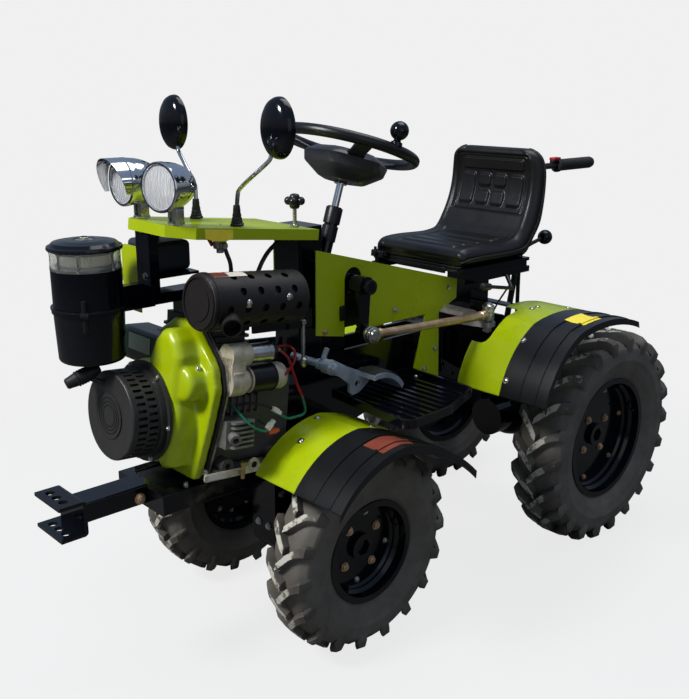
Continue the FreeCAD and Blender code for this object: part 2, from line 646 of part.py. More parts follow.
def air_cleaner_body():
    """Canister in two pressed halves with a clamp band and its bracket arm."""
    seam = CLEANER_BASE + 112
    foot = Vector(CLEANER_X, CLEANER_Y, CLEANER_BASE)
    low = Part.makeCone(CLEANER_R - 4, CLEANER_R, seam - CLEANER_BASE, foot)
    high = Part.makeCylinder(CLEANER_R - 1, 84, Vector(CLEANER_X, CLEANER_Y, seam))
    band = Part.makeCylinder(CLEANER_R + 3, 12, Vector(CLEANER_X, CLEANER_Y, seam - 6))
    low = rounded(low, 8, lambda edge: edge.BoundBox.ZMax < CLEANER_BASE + 0.1)
    arm = box(CLEANER_X, POST_X1 + 16, CLEANER_Y + 40, POST_Y - FIT, seam - 6, seam + 38)
    arm = arm.cut(box(CLEANER_X + 24, POST_X1 + 17, CLEANER_Y + 39, POST_Y - 8, seam, seam + 39))
    return join([low, high, band, arm])


def air_cleaner_bowl():
    base = CLEANER_BASE + 196
    return Part.makeCylinder(CLEANER_R - 1, 40, Vector(CLEANER_X, CLEANER_Y, base + 0.3))


def air_cleaner_lid():
    """Pressed lid with a rolled rim, a stepped crown and a knurled nut."""
    base = CLEANER_BASE + 236.6
    outline = [(0, 0), (CLEANER_R + 3, 0), (CLEANER_R + 4, 3), (CLEANER_R + 3, 7), (CLEANER_R - 2, 9),
               (CLEANER_R - 8, 15), (CLEANER_R - 30, 19), (22, 20), (20, 14), (8, 14), (8, 25), (0, 25)]
    edges = [Vector(r, 0, z) for r, z in outline]
    lid = Part.Face(Part.makePolygon(edges + edges[:1])).revolve(Vector(0, 0, 0), Vector(0, 0, 1), 360)
    lid.translate(Vector(CLEANER_X, CLEANER_Y, base))
    return lid


def fuel_tank():
    """Moulded tank on the shelf behind the front post, with its filler cap."""
    tank = box(TANK_X0, TANK_X1, TANK_Y0, TANK_Y1, TANK_Z, TANK_Z + TANK_H)
    tank = rounded(tank, 12, lambda edge: True)
    neck = Part.makeCylinder(17, 22, Vector(TANK_X0 + 34, (TANK_Y0 + TANK_Y1) / 2, TANK_Z + TANK_H - 4))
    return join([tank, neck])


def plate_z(y):
    """Height of the console plate's top face at a place along the machine."""
    return PLATE_REAR_Z + (PLATE_REAR - y) * math.tan(math.radians(PLATE_PITCH))


def on_plate(y, radius):
    """Lowest height at which an upright round foot of this radius clears the sloping plate."""
    return plate_z(y) + radius * math.tan(math.radians(PLATE_PITCH)) + FIT


def console_plate():
    """Folded sheet with a turned-down edge all round, raised at the front."""
    half, cut = PLATE_HALF, 46
    outline = [(-half, PLATE_REAR), (half, PLATE_REAR), (half, PLATE_FRONT + cut), (half - cut, PLATE_FRONT),
               (-half + cut, PLATE_FRONT), (-half, PLATE_FRONT + cut)]
    inner = [(x * (half - PLATE_T) / half, y + (PLATE_T if y < PLATE_REAR - 100 else -PLATE_T))
             for x, y in outline]
    top = PLATE_REAR_Z
    shape = polygon_z(outline, top - PLATE_FLANGE, top)
    shape = shape.cut(polygon_z(inner, top - PLATE_FLANGE - 1, top - PLATE_T))
    return turned(shape, (0, PLATE_REAR, top), (1, 0, 0), -PLATE_PITCH)


def console_posts():
    """Front post over the engine with the tank shelf, and the tower with its arm behind it."""
    back = POST_Y + POST_D
    under = plate_z(back) - PLATE_T - 1
    head = [engine_point(y, ENGINE_HEAD_Z + FIT) for y in (CRANK_Y + 190, CRANK_Y + 225)]
    outline = [(POST_Y, 866), (POST_Y, under), (back, under), (back, 890), (head[1][0], 890),
               head[1], head[0], (head[0][0], 866)]
    front = polygon_x(outline, POST_X0, POST_X1)
    front = front.cut(box(POST_X0 + 4, POST_X1 - 4, POST_Y + 4, back + 1, 892, under + 1))
    shelf = box(TANK_X0, POST_X1 - 8, back - 2, TANK_Y1, TANK_Z - 6, TANK_Z - FIT)
    fold = box(TANK_X0, POST_X0 + 2, back - 2, back + 2, TANK_Z - 30, TANK_Z - FIT)
    tower = box(-50, 50, PLATE_REAR + FIT, 66, BACKBONE_TOP + FIT, PLATE_REAR_Z - 4)
    tower = rounded(tower, 6, lambda edge: along(edge, (0, 0, 1)))
    arm = polygon_x([(-186, 788), (-5, 774), (-5, 820), (-60, 822), (-186, 804)], 92, 97)
    tie = box(48, 97, -7, 8, 776, 818)
    parts = [tower, arm, tie]
    for z in (915, 790):
        parts.append(rod((48, 30, z), (PANEL_X - PANEL_T - FIT, 30, z), 9))
        parts.append(rod((-48, 52, z), (-PANEL_X + PANEL_T + FIT, 52, z), 9))
    return Part.makeCompound([join([front, shelf, fold]), join(parts)])


def console_front_plate():
    """Green stay plate beside the front post."""
    sheet = box(POST_X0 - 70, POST_X0 - FIT, POST_Y + 4, POST_Y + 7, 840, PLATE_REAR_Z - 20)
    return rounded(sheet, 14, lambda edge: along(edge, (0, 1, 0)) and edge.CenterOfMass.x < POST_X0 - 60)


def headlight(side):
    """Bullet shell with a bezel on a bracket; the right one carries a visor."""
    x = side * LAMP_X
    rim_r = LAMP_R + 1
    shell = [line((0, -6, 0), (LAMP_R - 5, -6, 0)), line((LAMP_R - 5, -6, 0), (LAMP_R - 5, -10, 0)),
             line((LAMP_R - 5, -10, 0), (rim_r, -10, 0)), line((rim_r, -10, 0), (rim_r, 0, 0)),
             line((rim_r, 0, 0), (LAMP_R - 2, 3, 0)),
             arc((LAMP_R - 2, 3, 0), (LAMP_R - 12, 56, 0), (0, LAMP_DEPTH, 0)),
             line((0, LAMP_DEPTH, 0), (0, -6, 0))]
    bullet = closed_face(shell).revolve(Vector(0, 0, 0), Vector(0, 1, 0), 360)
    bullet.translate(Vector(x, LAMP_Y, LAMP_Z))
    parts = [bullet]
    if side < 0:
        visor = tube((x, LAMP_Y - 46, LAMP_Z), (x, LAMP_Y - 9, LAMP_Z), rim_r, 2)
        cutter = [(LAMP_Y - 60, LAMP_Z + 44), (LAMP_Y - 46, LAMP_Z + 30), (LAMP_Y - 8, LAMP_Z - 6),
                  (LAMP_Y - 8, LAMP_Z - 80), (LAMP_Y - 60, LAMP_Z - 80)]
        parts.append(visor.cut(polygon_x(cutter, x - 80, x + 80)))
    stem_y = LAMP_Y + 40
    foot_z = on_plate(stem_y, 18)
    parts.append(rod((x, stem_y, foot_z), (x, stem_y, LAMP_Z - 30), 9))
    parts.append(rod((x, stem_y, foot_z), (x, stem_y, foot_z + 6), 18))
    for cheek_x in (x - 14, x + 14):
        parts.append(box(cheek_x - 2, cheek_x + 2, stem_y - 10, stem_y + 10, foot_z + 4, LAMP_Z - 36))
    return join(parts)


def headlight_lens(side):
    x = side * LAMP_X
    return rod((x, LAMP_Y - 9, LAMP_Z), (x, LAMP_Y - 6.3, LAMP_Z), LAMP_R - 5.5)


def mirror(side):
    """Oval domed mirror head on a bent stalk with a rubber foot."""
    base_x, base_y = side * 77, -207
    base_z = on_plate(base_y, 15)
    head_x, head_y, head_z = side * 191, -188, 1237
    cone = Part.makeCone(15, 7, 44, Vector(base_x, base_y, base_z))
    knee = (side * 80, base_y + 2, base_z + 70)
    elbow = (side * 168, head_y + 2, head_z - 62)
    tip = (side * 178, head_y + 2, head_z - 20)
    stalk = [rod((base_x, base_y, base_z + 36), knee, 5), Part.makeSphere(5, Vector(*knee)),
             rod(knee, elbow, 5), Part.makeSphere(5, Vector(*elbow)), rod(elbow, tip, 5)]
    sections = []
    for wide, high, y in ((1, 1, 14), (1, 1, 8), (0.9, 0.92, -4), (0.62, 0.68, -13), (0.2, 0.26, -17)):
        oval = Part.Ellipse(Vector(0, 0, 0), high * MIRROR_H / 2, wide * MIRROR_W / 2).toShape()
        oval.rotate(Vector(0, 0, 0), Vector(0, 0, 1), 90)
        oval.rotate(Vector(0, 0, 0), Vector(1, 0, 0), 90)
        oval.translate(Vector(head_x, head_y + y, head_z))
        sections.append(Part.Wire(oval))
    dome = Part.makeLoft(sections, True)
    return join([cone, dome] + stalk)


def side_panel(side):
    """Green sheet beside the steering gear, with an arched slot for the pitman shaft."""
    x0 = PANEL_X - PANEL_T
    front = -4 if side > 0 else 38
    slope = (956 - 820) / 508.0
    outline = [(front, 752), (front, 955 - slope * (front + 4)), (front + 6, 956 - slope * (front + 10)),
               (504, 820), (504, 768), (440, 742), (150, 742), (150, 735), (83, 735)]
    sheet = polygon_x(outline, x0, PANEL_X)
    slot = box(x0 - 1, PANEL_X + 1, PITMAN_Y - 28, PITMAN_Y + 28, 700, PITMAN_Z + 12)
    slot = slot.fuse(rod((x0 - 1, PITMAN_Y, PITMAN_Z + 12), (PANEL_X + 1, PITMAN_Y, PITMAN_Z + 12), 28))
    if side > 0:
        sheet = sheet.cut(slot)
    strip = polygon_x([(330, 560), (443, 540), (434, 743), (381, 743)], x0, PANEL_X)
    # folded top edge that stiffens the sheet
    fold_z = 955.4 - slope * (front + 14)
    fold = polygon_x([(front + 10, fold_z - 3.4), (500, 817.5), (500, 821), (front + 10, fold_z)],
                     x0 - 14, PANEL_X)
    sheet = join([sheet, strip, fold])
    return sheet if side > 0 else mirrored(sheet)


def steering_gear():
    """Steering box between the panels, the column tube and the fixed shaft bearing."""
    lean = math.radians(COLUMN_LEAN)
    axis = Vector(0, math.sin(lean), math.cos(lean))
    base = Vector(0, COLUMN_Y, COLUMN_Z)
    low = base - axis * 60
    sleeve_top = base + axis * 108
    sleeve = Part.makeCylinder(17, 168, low, axis).cut(Part.makeCylinder(9 + FIT, 60, base + axis * 50, axis))
    case = box(-40, 62, PITMAN_Y - 45, PITMAN_Y + 45, PITMAN_Z - 50, PITMAN_Z + 38)
    case = rounded(case, 12, lambda edge: along(edge, (1, 0, 0)))
    bearing = rod((62, PITMAN_Y, PITMAN_Z), (100, PITMAN_Y, PITMAN_Z), 25)
    bearing = bearing.cut(rod((90, PITMAN_Y, PITMAN_Z), (101, PITMAN_Y, PITMAN_Z), 11 + FIT))
    foot = box(-40, 40, 66 + FIT, PITMAN_Y + 35, 670 + FIT, PITMAN_Z - 45)
    return join([sleeve, case, bearing, foot])


def pitman_arm():
    """Tapered drop arm on its splined shaft, with the ball stud at the lower eye."""
    low = (PITMAN_X, PITMAN_Y, PITMAN_Z - PITMAN_L)
    shaft = rod((91, PITMAN_Y, PITMAN_Z), (PITMAN_X + 30, PITMAN_Y, PITMAN_Z), 11)
    boss = rod((PITMAN_X - 26, PITMAN_Y, PITMAN_Z), (PITMAN_X + 14, PITMAN_Y, PITMAN_Z), 23)
    nut = polygon_x([(PITMAN_Y + y, PITMAN_Z + z) for y, z in regular(6, 19)], PITMAN_X + 14, PITMAN_X + 26)
    arm = polygon_x([(PITMAN_Y - 20, PITMAN_Z), (PITMAN_Y + 20, PITMAN_Z),
                     (PITMAN_Y + 13, PITMAN_Z - PITMAN_L), (PITMAN_Y - 13, PITMAN_Z - PITMAN_L)],
                    PITMAN_X - 7, PITMAN_X + 7)
    eye = rod((PITMAN_X - 9, low[1], low[2]), (PITMAN_X + 9, low[1], low[2]), 17)
    stud = rod((PITMAN_X + 9, low[1], low[2]), (LINK_X - 12, low[1], low[2]), 8)
    return join([shaft, boss, nut, arm, eye, stud])


def drag_link():
    """Round link with a collar and a ball joint at each end."""
    front = Vector(LINK_X, PITMAN_Y, PITMAN_Z - PITMAN_L)
    back = Vector(LINK_X, LINK_BACK_Y, LINK_BACK_Z)
    way = (back - front).normalize()
    ball = rod((LINK_X - 12 + FIT, front.y, front.z), (LINK_X + 11, front.y, front.z), 20)
    cap = Part.makeCone(15, 10, 5, Vector(LINK_X + 11, front.y, front.z), Vector(1, 0, 0))
    bar = rod(front, back, LINK_R)
    sleeve = rod(front + way * 14, front + way * 30, LINK_R + 3)
    tail = rod(back - way * 32, back - way * 14, LINK_R + 3)
    head = Part.makeCylinder(17, 26, Vector(back.x, back.y, back.z - 13))
    return join([bar, ball, cap, sleeve, tail, head])


def steering_wheel():
    """Ring, faceted hub, three spokes and a spinner knob, square to the leaning column, with the shaft."""
    lean = math.radians(COLUMN_LEAN)
    axis = Vector(0, math.sin(lean), math.cos(lean))
    base = Vector(0, COLUMN_Y, COLUMN_Z)
    section = [Vector(RING_R + x, 0, z) for x, z in regular(12, RING_TUBE)]
    ring = Part.Face(Part.makePolygon(section + section[:1]))
    ring = ring.revolve(Vector(0, 0, 0), Vector(0, 0, 1), 360)
    levels = []
    for radius, z in ((HUB_PAD_R - 14, -16), (HUB_PAD_R + 4, -30), (HUB_PAD_R, -50), (HUB_PAD_R - 34, -76),
                      (34, -80)):
        corners = [Vector(x, y, z) for x, y in regular(6, radius)]
        levels.append(Part.makePolygon(corners + corners[:1]))
    parts = [ring, Part.makeLoft(levels, True, True)]
    for index in range(3):
        spoke = box(HUB_PAD_R - 22, RING_R, -19, 19, -34, -24)
        spoke = rounded(spoke, 4, lambda edge: along(edge, (1, 0, 0)))
        spoke = turned(spoke, (HUB_PAD_R - 22, 0, -29), (0, 1, 0), -16)
        parts.append(turned(spoke, (0, 0, 0), (0, 0, 1), SPOKE_PHASE + 120 * index))
    knob_x = RING_R * math.cos(math.radians(KNOB_PHASE))
    knob_y = RING_R * math.sin(math.radians(KNOB_PHASE))
    parts.append(Part.makeCylinder(6, 24, Vector(knob_x, knob_y, RING_TUBE - 5)))
    parts.append(Part.makeCylinder(14, 7, Vector(knob_x, knob_y, RING_TUBE - 3)))
    knob = Part.makeSphere(KNOB_R, Vector(knob_x, knob_y, RING_TUBE + KNOB_R + 9))
    parts.append(knob)
    wheel = join(parts)
    wheel.Placement = Placement(base + axis * RING_UP, Rotation(Vector(1, 0, 0), -COLUMN_LEAN))
    shaft = Part.makeCylinder(9, RING_UP - 60 - 52, base + axis * 52, axis)
    return join([wheel, shaft])


# ------------------------------------------------------------------ fenders and footboards

def fender_edges(start_y, start_z, tilt, lift):
    """Start, top and end of the fender's side curve, lifted square to its chord."""
    angle = math.radians(tilt)
    points = []
    for u, v in ((0, 0), (0.2 * FENDER_CHORD, 0.74 * FENDER_RISE), (0.42 * FENDER_CHORD, FENDER_RISE),
                 (0.76 * FENDER_CHORD, 0.62 * FENDER_RISE), (FENDER_CHORD, 0)):
        y = start_y + u * math.cos(angle) - (v + lift) * math.sin(angle)
        z = start_z + u * math.sin(angle) + (v + lift) * math.cos(angle)
        points.append(Vector(0, y, z))
    return points


def fender_strip(start_y, start_z, tilt, low_lift, high_lift, x0, x1):
    """A strip that follows the fender's side curve, between two lifts and two distances from the centre."""
    low = fender_edges(start_y, start_z, tilt, low_lift)
    high = fender_edges(start_y, start_z, tilt, high_lift)
    edges = []
    for row in (low, high):
        edges.append(Part.Arc(row[0], row[1], row[2]).toShape())
        edges.append(Part.Arc(row[2], row[3], row[4]).toShape())
    edges.append(Part.makeLine(low[0], high[0]))
    edges.append(Part.makeLine(low[4], high[4]))
    face = Part.Face(Part.Wire(Part.__sortEdges__(edges)))
    face.translate(Vector(x0, 0, 0))
    return face.extrude(Vector(x1 - x0, 0, 0))


def fender_space(start_y, start_z, tilt):
    """Everything above the fender's underside, for cutting the brackets that carry it."""
    low = fender_edges(start_y, start_z, tilt, -FIT)
    high = fender_edges(start_y, start_z, tilt, 200)
    edges = [Part.Arc(low[0], low[1], low[2]).toShape(), Part.Arc(low[2], low[3], low[4]).toShape(),
             Part.makeLine(low[4], high[4]), Part.makeLine(high[4], high[0]), Part.makeLine(high[0], low[0])]
    face = Part.Face(Part.Wire(Part.__sortEdges__(edges)))
    face.translate(Vector(-600, 0, 0))
    return face.extrude(Vector(1200, 0, 0))


def fender_flare(y, z, tilt, seam, outer):
    """Black outer part: the sheet, a turned-down outer lip and two pressed ridges."""
    parts = [fender_strip(y, z, tilt, 0, FENDER_T, seam, outer),
             fender_strip(y, z, tilt, -FENDER_LIP, FENDER_T, outer - FENDER_T, outer)]
    for share in (0.38, 0.72):
        x = seam + share * (outer - seam)
        parts.append(fender_strip(y, z, tilt, FENDER_T - 1, FENDER_T + 3, x, x + 9))
    return join(parts)


def fenders(pieces):
    rows = (("front", FRONT_FENDER_Y, FRONT_FENDER_Z, FRONT_FENDER_TILT, FENDER_IN_FRONT,
             FENDER_SEAM_FRONT, FENDER_OUT_FRONT),
            ("rear", REAR_FENDER_Y, REAR_FENDER_Z, REAR_FENDER_TILT, FENDER_IN_REAR,
             FENDER_SEAM_REAR, FENDER_OUT_REAR))
    for name, y, z, tilt, inner, seam, outer in rows:
        metal = fender_strip(y, z, tilt, 0, FENDER_T, inner, seam)
        plastic = fender_flare(y, z, tilt, seam + FIT, outer)
        pieces["%s_fender_right" % name] = mirrored(metal)
        if name == "rear":
            notch = box(inner - 1, LINK_X + 46, PIVOT_Y - 30, PIVOT_Y + 112, 500, 900)
            notch = rounded(notch, 20, lambda edge: along(edge, (0, 0, 1)) and edge.CenterOfMass.x > inner)
            link_way = box(inner - 1, LINK_X + 46, y - 40, PIVOT_Y - 29, LINK_BACK_Z - 22, 900)
            metal = metal.cut(notch).cut(link_way)
        pieces["%s_fender_left" % name] = metal
        pieces["%s_fender_flare_left" % name] = plastic
        pieces["%s_fender_flare_right" % name] = mirrored(plastic)


def footboard(side):
    """Ribbed tread plate with rounded corners and a raised rim, narrower at the back."""
    z = FOOTBOARD_Z
    outline = [(112, 40), (398, 8), (388, 166), (334, 310), (112, 318)]
    inner = [(119, 47), (390, 16), (381, 162), (328, 303), (119, 311)]
    upright = lambda edge: along(edge, (0, 0, 1)) and edge.CenterOfMass.x > 200
    tray = rounded(polygon_z(outline, z - 6, z + 14), 26, upright)
    tray = tray.cut(rounded(polygon_z(inner, z, z + 15), 20, upright))
    parts = [tray]
    for index in range(9):
        y = 62 + 26 * index
        parts.append(box(122, 380 - 0.23 * (y - 60), y, y + 8, z - 1, z + 4))
    tray = join(parts)
    return tray if side > 0 else mirrored(tray)


def hoses_and_wires(neighbours):
    """Starter lead, engine harness, fuel hoses and lamp lead, each held at both ends."""
    routes = (
        (3.0, 9, ((155, -176, 765), (157, -150, 771), (188, -138, 764), (198, -150, 728), (184, -176, 704))),
        (3.0, 10, ((173, -176, 765), (186, -160, 756), (193, -146, 688), (190, -114, 640), (187, -110, 600),
                   (186, -165, 604), (186, -206, 642), (172, -245, 660), (145, -272, 652))),
        (2.5, 10, ((145, -292, 662), (180, -292, 648), (200, -268, 610), (198, -225, 592), (160, -196, 588),
                   (116, -190, 588))),
        (5.0, 18, ((34, -224, 1030), (40, -220, 985), (60, -204, 925), (34, -216, 838))),
        (5.0, 18, ((40, -4, 985), (50, -58, 984), (70, -128, 958), (62, -160, 880), (28, -204, 836))),
        (2.5, 8, ((60, -350, 1094), (52, -346, 1070), (45, -340, 1056), (45, -336, 1038))))
    runs = [cable(route, radius, bend).cut(neighbours) for radius, bend, route in routes]
    return Part.makeCompound([max(run.Solids, key=lambda solid: solid.Volume) for run in runs])


def brake_pedal():
    """Cross shaft, cranked cast arm with a lightening hole, and a thick curved pad."""
    shaft = rod((GEARBOX_HALF + CHEEK_T + 2 * FIT, -36, 700), (198, -36, 700), 9)
    collar = rod((172, -36, 700), (198, -36, 700), 17)
    arm = polygon_x([(-44, 716), (-26, 716), (20, 690), (78, 664), (94, 648), (86, 637), (58, 619), (36, 616),
                     (26, 626), (28, 644), (-8, 672), (-48, 688)], 182, 190)
    arm = rounded(arm, 5, lambda edge: along(edge, (1, 0, 0)))
    arm = arm.cut(rod((181, 52, 642), (191, 52, 642), 8))
    pad = [arc((178, 58, 672), (178, 112, 668), (178, 156, 632)), line((178, 156, 632), (178, 150, 622)),
           arc((178, 150, 622), (178, 108, 656), (178, 57, 660)), line((178, 57, 660), (178, 58, 672))]
    pad = closed_face(pad).extrude(Vector(66, 0, 0))
    return join([shaft, collar, arm, pad]).translated(Vector(0, 0, PEDAL_RISE))


def knob_lever():
    """Upright lever with a round grip on the plate."""
    z = on_plate(-49, 9)
    return join([rod((83, -49, z), (83, -49, z + 8), 9), rod((83, -49, z), (83, -49, z + 78), 4.5),
                 rod((83, -49, z + 50), (83, -49, z + 76), 13)])


# ------------------------------------------------------------------ rear half

def rear_frame():
    """Pivot sleeve, backbone, seat post and fender brackets."""
    sleeve = tube((0, PIVOT_Y, PIVOT_LOW), (0, PIVOT_Y, PIVOT_HIGH), PIVOT_R, PIVOT_R - PIVOT_PIN_R - FIT)
    neck = box(-30, 30, PIVOT_Y + PIVOT_R - 4, PIVOT_Y + 90, PIVOT_LOW + 8, PIVOT_HIGH - 8)
    spine = polygon_x([(PIVOT_Y + 60, 560), (PIVOT_Y + 60, LEVER_Z - FIT), (PIVOT_Y + 130, LEVER_Z - FIT),
                       (PIVOT_Y + 270, 660), (WHEELBASE + 61, AXLE_SEAT + 80), (WHEELBASE + 61, AXLE_SEAT),
                       (WHEELBASE - 99, AXLE_SEAT)], -45, 45)
    post = box(-45, 45, 640, 720, 650, SEAT_RAIL_Z - FIT)
    parts = [sleeve, neck, spine, post]
    bar_y = REAR_FENDER_Y + 215
    bar = box(40, 322, bar_y, bar_y + 28, REAR_FENDER_Z + 176, REAR_FENDER_Z + 240)
    bar = bar.cut(fender_space(REAR_FENDER_Y, REAR_FENDER_Z, REAR_FENDER_TILT))
    foot = box(-45, 45, bar_y, bar_y + 28, 600, REAR_FENDER_Z + 200)
    return join(parts + [foot, bar, mirrored(bar)])


def steering_lever():
    """Cast lever over the pivot that holds the rear ball joint."""
    outline = [(-40, PIVOT_Y + 62), (-40, PIVOT_Y + 108), (60, PIVOT_Y + 108),
               (LINK_X + 16, LINK_BACK_Y + 16),
               (LINK_X + 16, LINK_BACK_Y - 16), (LINK_X - 20, LINK_BACK_Y - 24), (110, PIVOT_Y - 6),
               (60, PIVOT_Y + 62)]
    plate = polygon_z(outline, LEVER_Z, LEVER_Z + LEVER_T)
    plate = rounded(plate, 9, lambda edge: along(edge, (0, 0, 1)))
    stud = rod((LINK_X, LINK_BACK_Y, LEVER_Z - 16), (LINK_X, LINK_BACK_Y, LEVER_Z + LEVER_T + 3), 7)
    nut = Part.makeCylinder(12, 12, Vector(LINK_X, LINK_BACK_Y, LEVER_Z - 12))
    return join([plate, stud, nut])


def rear_axle():
    ball = Part.makeSphere(84, Vector(0, WHEELBASE, REAR_TYRE_R))
    nose = rod((0, WHEELBASE - 125, REAR_TYRE_R), (0, WHEELBASE - 60, REAR_TYRE_R), 58)
    saddle = box(-40, 40, WHEELBASE - 60, WHEELBASE + 60, REAR_TYRE_R + 60, AXLE_SEAT - FIT)
    half = join(half_axle(40, WHEELBASE, REAR_TYRE_R, REAR_TYRE_X, REAR_HUB_REACH, 34, 50)
                + [rod((78, WHEELBASE, REAR_TYRE_R), (92, WHEELBASE, REAR_TYRE_R), 62)])
    return join([ball, nose, saddle, half, mirrored(half)])


def seat_rails():
    """Seat slides on cross bars, stacked base plates, and the slide's release lever."""
    parts = []
    for side in (1, -1):
        x = side * SEAT_RAIL_X
        parts.append(box(x - 12, x + 12, SEAT_FRONT + 30, SEAT_REAR, SEAT_RAIL_Z, SEAT_RAIL_Z + 16))
        parts.append(box(x - 8, x + 8, SEAT_FRONT + 38, SEAT_REAR - 8, SEAT_RAIL_Z + 15, SEAT_PAN_Z - 8))
        parts.append(box(x - 14, x + 10, SEAT_FRONT + 28, SEAT_REAR, SEAT_PAN_Z - 9, SEAT_PAN_Z - FIT))
    for y in (600, 700):
        parts.append(box(-SEAT_RAIL_X, SEAT_RAIL_X, y, y + 30, SEAT_RAIL_Z, SEAT_RAIL_Z + 20))
    start, bend, end = (SEAT_RAIL_X, 640, SEAT_RAIL_Z + 8), (200, 622, 792), (204, 500, 815)
    parts += [rod(start, bend, 5), Part.makeSphere(5, Vector(*bend)), rod(bend, end, 5),
              rod((203.5, 520, 811), (204.3, 480, 819), 9)]
    lead = [(152, 668, SEAT_RAIL_Z + 4), (164, 662, 792), (158, 622, 748), (150, 604, 712)]
    parts.append(cable(lead, 2.5, 20))
    return join(parts)


def seat():
    """Bucket seat: a dished cushion and a raked back in one moulding with rounded edges."""
    half = SEAT_HALF
    low = SEAT_PAN_Z
    side = [line((-half, SEAT_FRONT + 18, low), (-half, SEAT_REAR, low)),
            line((-half, SEAT_REAR, low), (-half, 806, low + 86)),
            arc((-half, 806, low + 86), (-half, 822, low + 190), (-half, 806, SEAT_TOP)),
            line((-half, 806, SEAT_TOP), (-half, 756, SEAT_TOP)),
            arc((-half, 756, SEAT_TOP), (-half, 768, low + 190), (-half, 722, low + 84)),
            arc((-half, 722, low + 84), (-half, 690, low + 60), (-half, 640, low + 54)),
            line((-half, 640, low + 54), (-half, SEAT_FRONT + 14, low + 62)),
            arc((-half, SEAT_FRONT + 14, low + 62), (-half, SEAT_FRONT, low + 36),
                (-half, SEAT_FRONT + 18, low))]
    body = closed_face(side).extrude(Vector(2 * half, 0, 0))
    # the back narrows towards its rounded top
    right = [(half + 1, low - 1), (half + 1, low + 90), (half - 14, SEAT_TOP - 60), (half - 52, SEAT_TOP + 1)]
    sweep = polygon_y(right + [(-x, z) for x, z in reversed(right)], SEAT_FRONT - 10, 840)
    sweep = rounded(sweep, 30, lambda edge: along(edge, (0, 1, 0)) and edge.CenterOfMass.z > SEAT_TOP - 80)
    # hollow between the side bolsters, in the cushion and in the back
    dish = box(-half + 44, half - 44, SEAT_FRONT + 60, 700, low + 44, low + 90)
    dish = rounded(dish, 20, lambda edge: along(edge, (0, 0, 1)))
    return body.common(sweep).cut(dish)


def hand_lever():
    """Lever behind the seat with a grip that points back, and the short ball-ended lever beside it."""
    knee = Vector(60, 900, 1060)
    bar = [rod((45 + FIT, 790, 620), (68, 790, 620), 18), rod((60, 790, 620), knee, 9),
           rod(knee, (60, 1020, 1089), 9), Part.makeSphere(9, knee)]
    grip = rod((60, 1012, 1089), (60, 1175, 1089), 17)
    grip = rounded(grip, 6, lambda edge: edge.BoundBox.YMin > 1150)
    collar = rod((60, 1006, 1089), (60, 1016, 1089), 20)
    ball_foot = rod((45 + FIT, 850, 600), (70, 850, 600), 15)
    ball = [ball_foot, rod((59, 850, 600), (59, 958, 860), 6), Part.makeSphere(22, Vector(60, 962, 878))]
    return Part.makeCompound([join(bar + [grip, collar]), join(ball)])


def rear_hitch():
    """Drawbar with its pin bore."""
    z = AXLE_SEAT + 10
    bar = box(-30, 30, WHEELBASE + 61 + FIT, WHEELBASE + 250, z - 9, z + 31)
    bar = rounded(bar, 16, lambda edge: along(edge, (0, 0, 1)) and edge.CenterOfMass.y > 1100)
    return bar.cut(rod((0, WHEELBASE + 225, z - 30), (0, WHEELBASE + 225, z + 40), HITCH_PIN_R))


# ------------------------------------------------------------------ the whole machine

def build():
    pieces = {}
    wheels(pieces)
    fenders(pieces)
    pieces["front_frame"] = front_frame()
    pieces["hitch_beam"] = hitch_beam()
    pieces["hitch_bracket"] = hitch_bracket()
    pieces["gearbox"] = gearbox()
    pieces["front_axle"] = front_axle()
    pieces["engine_block"] = engine_block()
    pieces["cooling_shroud"] = cooling_shroud()
    pieces["engine_plate"] = engine_plate()
    pieces["engine_baffle"] = engine_baffle()
    pieces["recoil_starter"] = recoil_starter()
    pieces["muffler"] = muffler()
    pieces["starter_motor"] = starter_motor()
    pieces["injection_pump"] = injection_pump()
    pieces["air_cleaner_body"] = air_cleaner_body()
    pieces["air_cleaner_bowl"] = air_cleaner_bowl()
    pieces["air_cleaner_lid"] = air_cleaner_lid()
    pieces["fuel_tank"] = fuel_tank()
    pieces["console_plate"] = console_plate()
    pieces["console_posts"] = console_posts()
    pieces["console_front_plate"] = console_front_plate()
    for side, name in ((1, "left"), (-1, "right")):
        pieces["headlight_" + name] = headlight(side)
        pieces["headlight_lens_" + name] = headlight_lens(side)
        pieces["mirror_" + name] = mirror(side)
        pieces["side_panel_" + name] = side_panel(side)
        pieces["footboard_" + name] = footboard(side)
    pieces["steering_gear"] = steering_gear()
    pieces["pitman_arm"] = pitman_arm()
    pieces["drag_link"] = drag_link()
    pieces["steering_wheel"] = steering_wheel()
    pieces["brake_pedal"] = brake_pedal()
    pieces["knob_lever"] = knob_lever()
    held_by = ("starter_motor", "injection_pump", "engine_block", "console_plate", "console_posts",
               "headlight_left")
    pieces["hoses_and_wires"] = hoses_and_wires([pieces[node] for node in held_by])
    pieces["rear_frame"] = rear_frame()
    pieces["steering_lever"] = steering_lever()
    pieces["rear_axle"] = rear_axle()
    pieces["seat_rails"] = seat_rails()
    pieces["seat"] = seat()
    pieces["hand_lever"] = hand_lever()
    pieces["rear_hitch"] = rear_hitch()
    return pieces


for node, piece in build().items():
    piece.translate(Vector(0, -ORIGIN_Y, 0))
    piece.exportStep("parts/%s.step" % node)
    print(node, len(piece.Solids), round(piece.Volume / 1000.0, 1), piece.isValid())
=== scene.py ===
import json
from math import cos, hypot, pi, radians, sin, sqrt, tan, tau

import bmesh
import bpy
from mathutils import Matrix, Vector


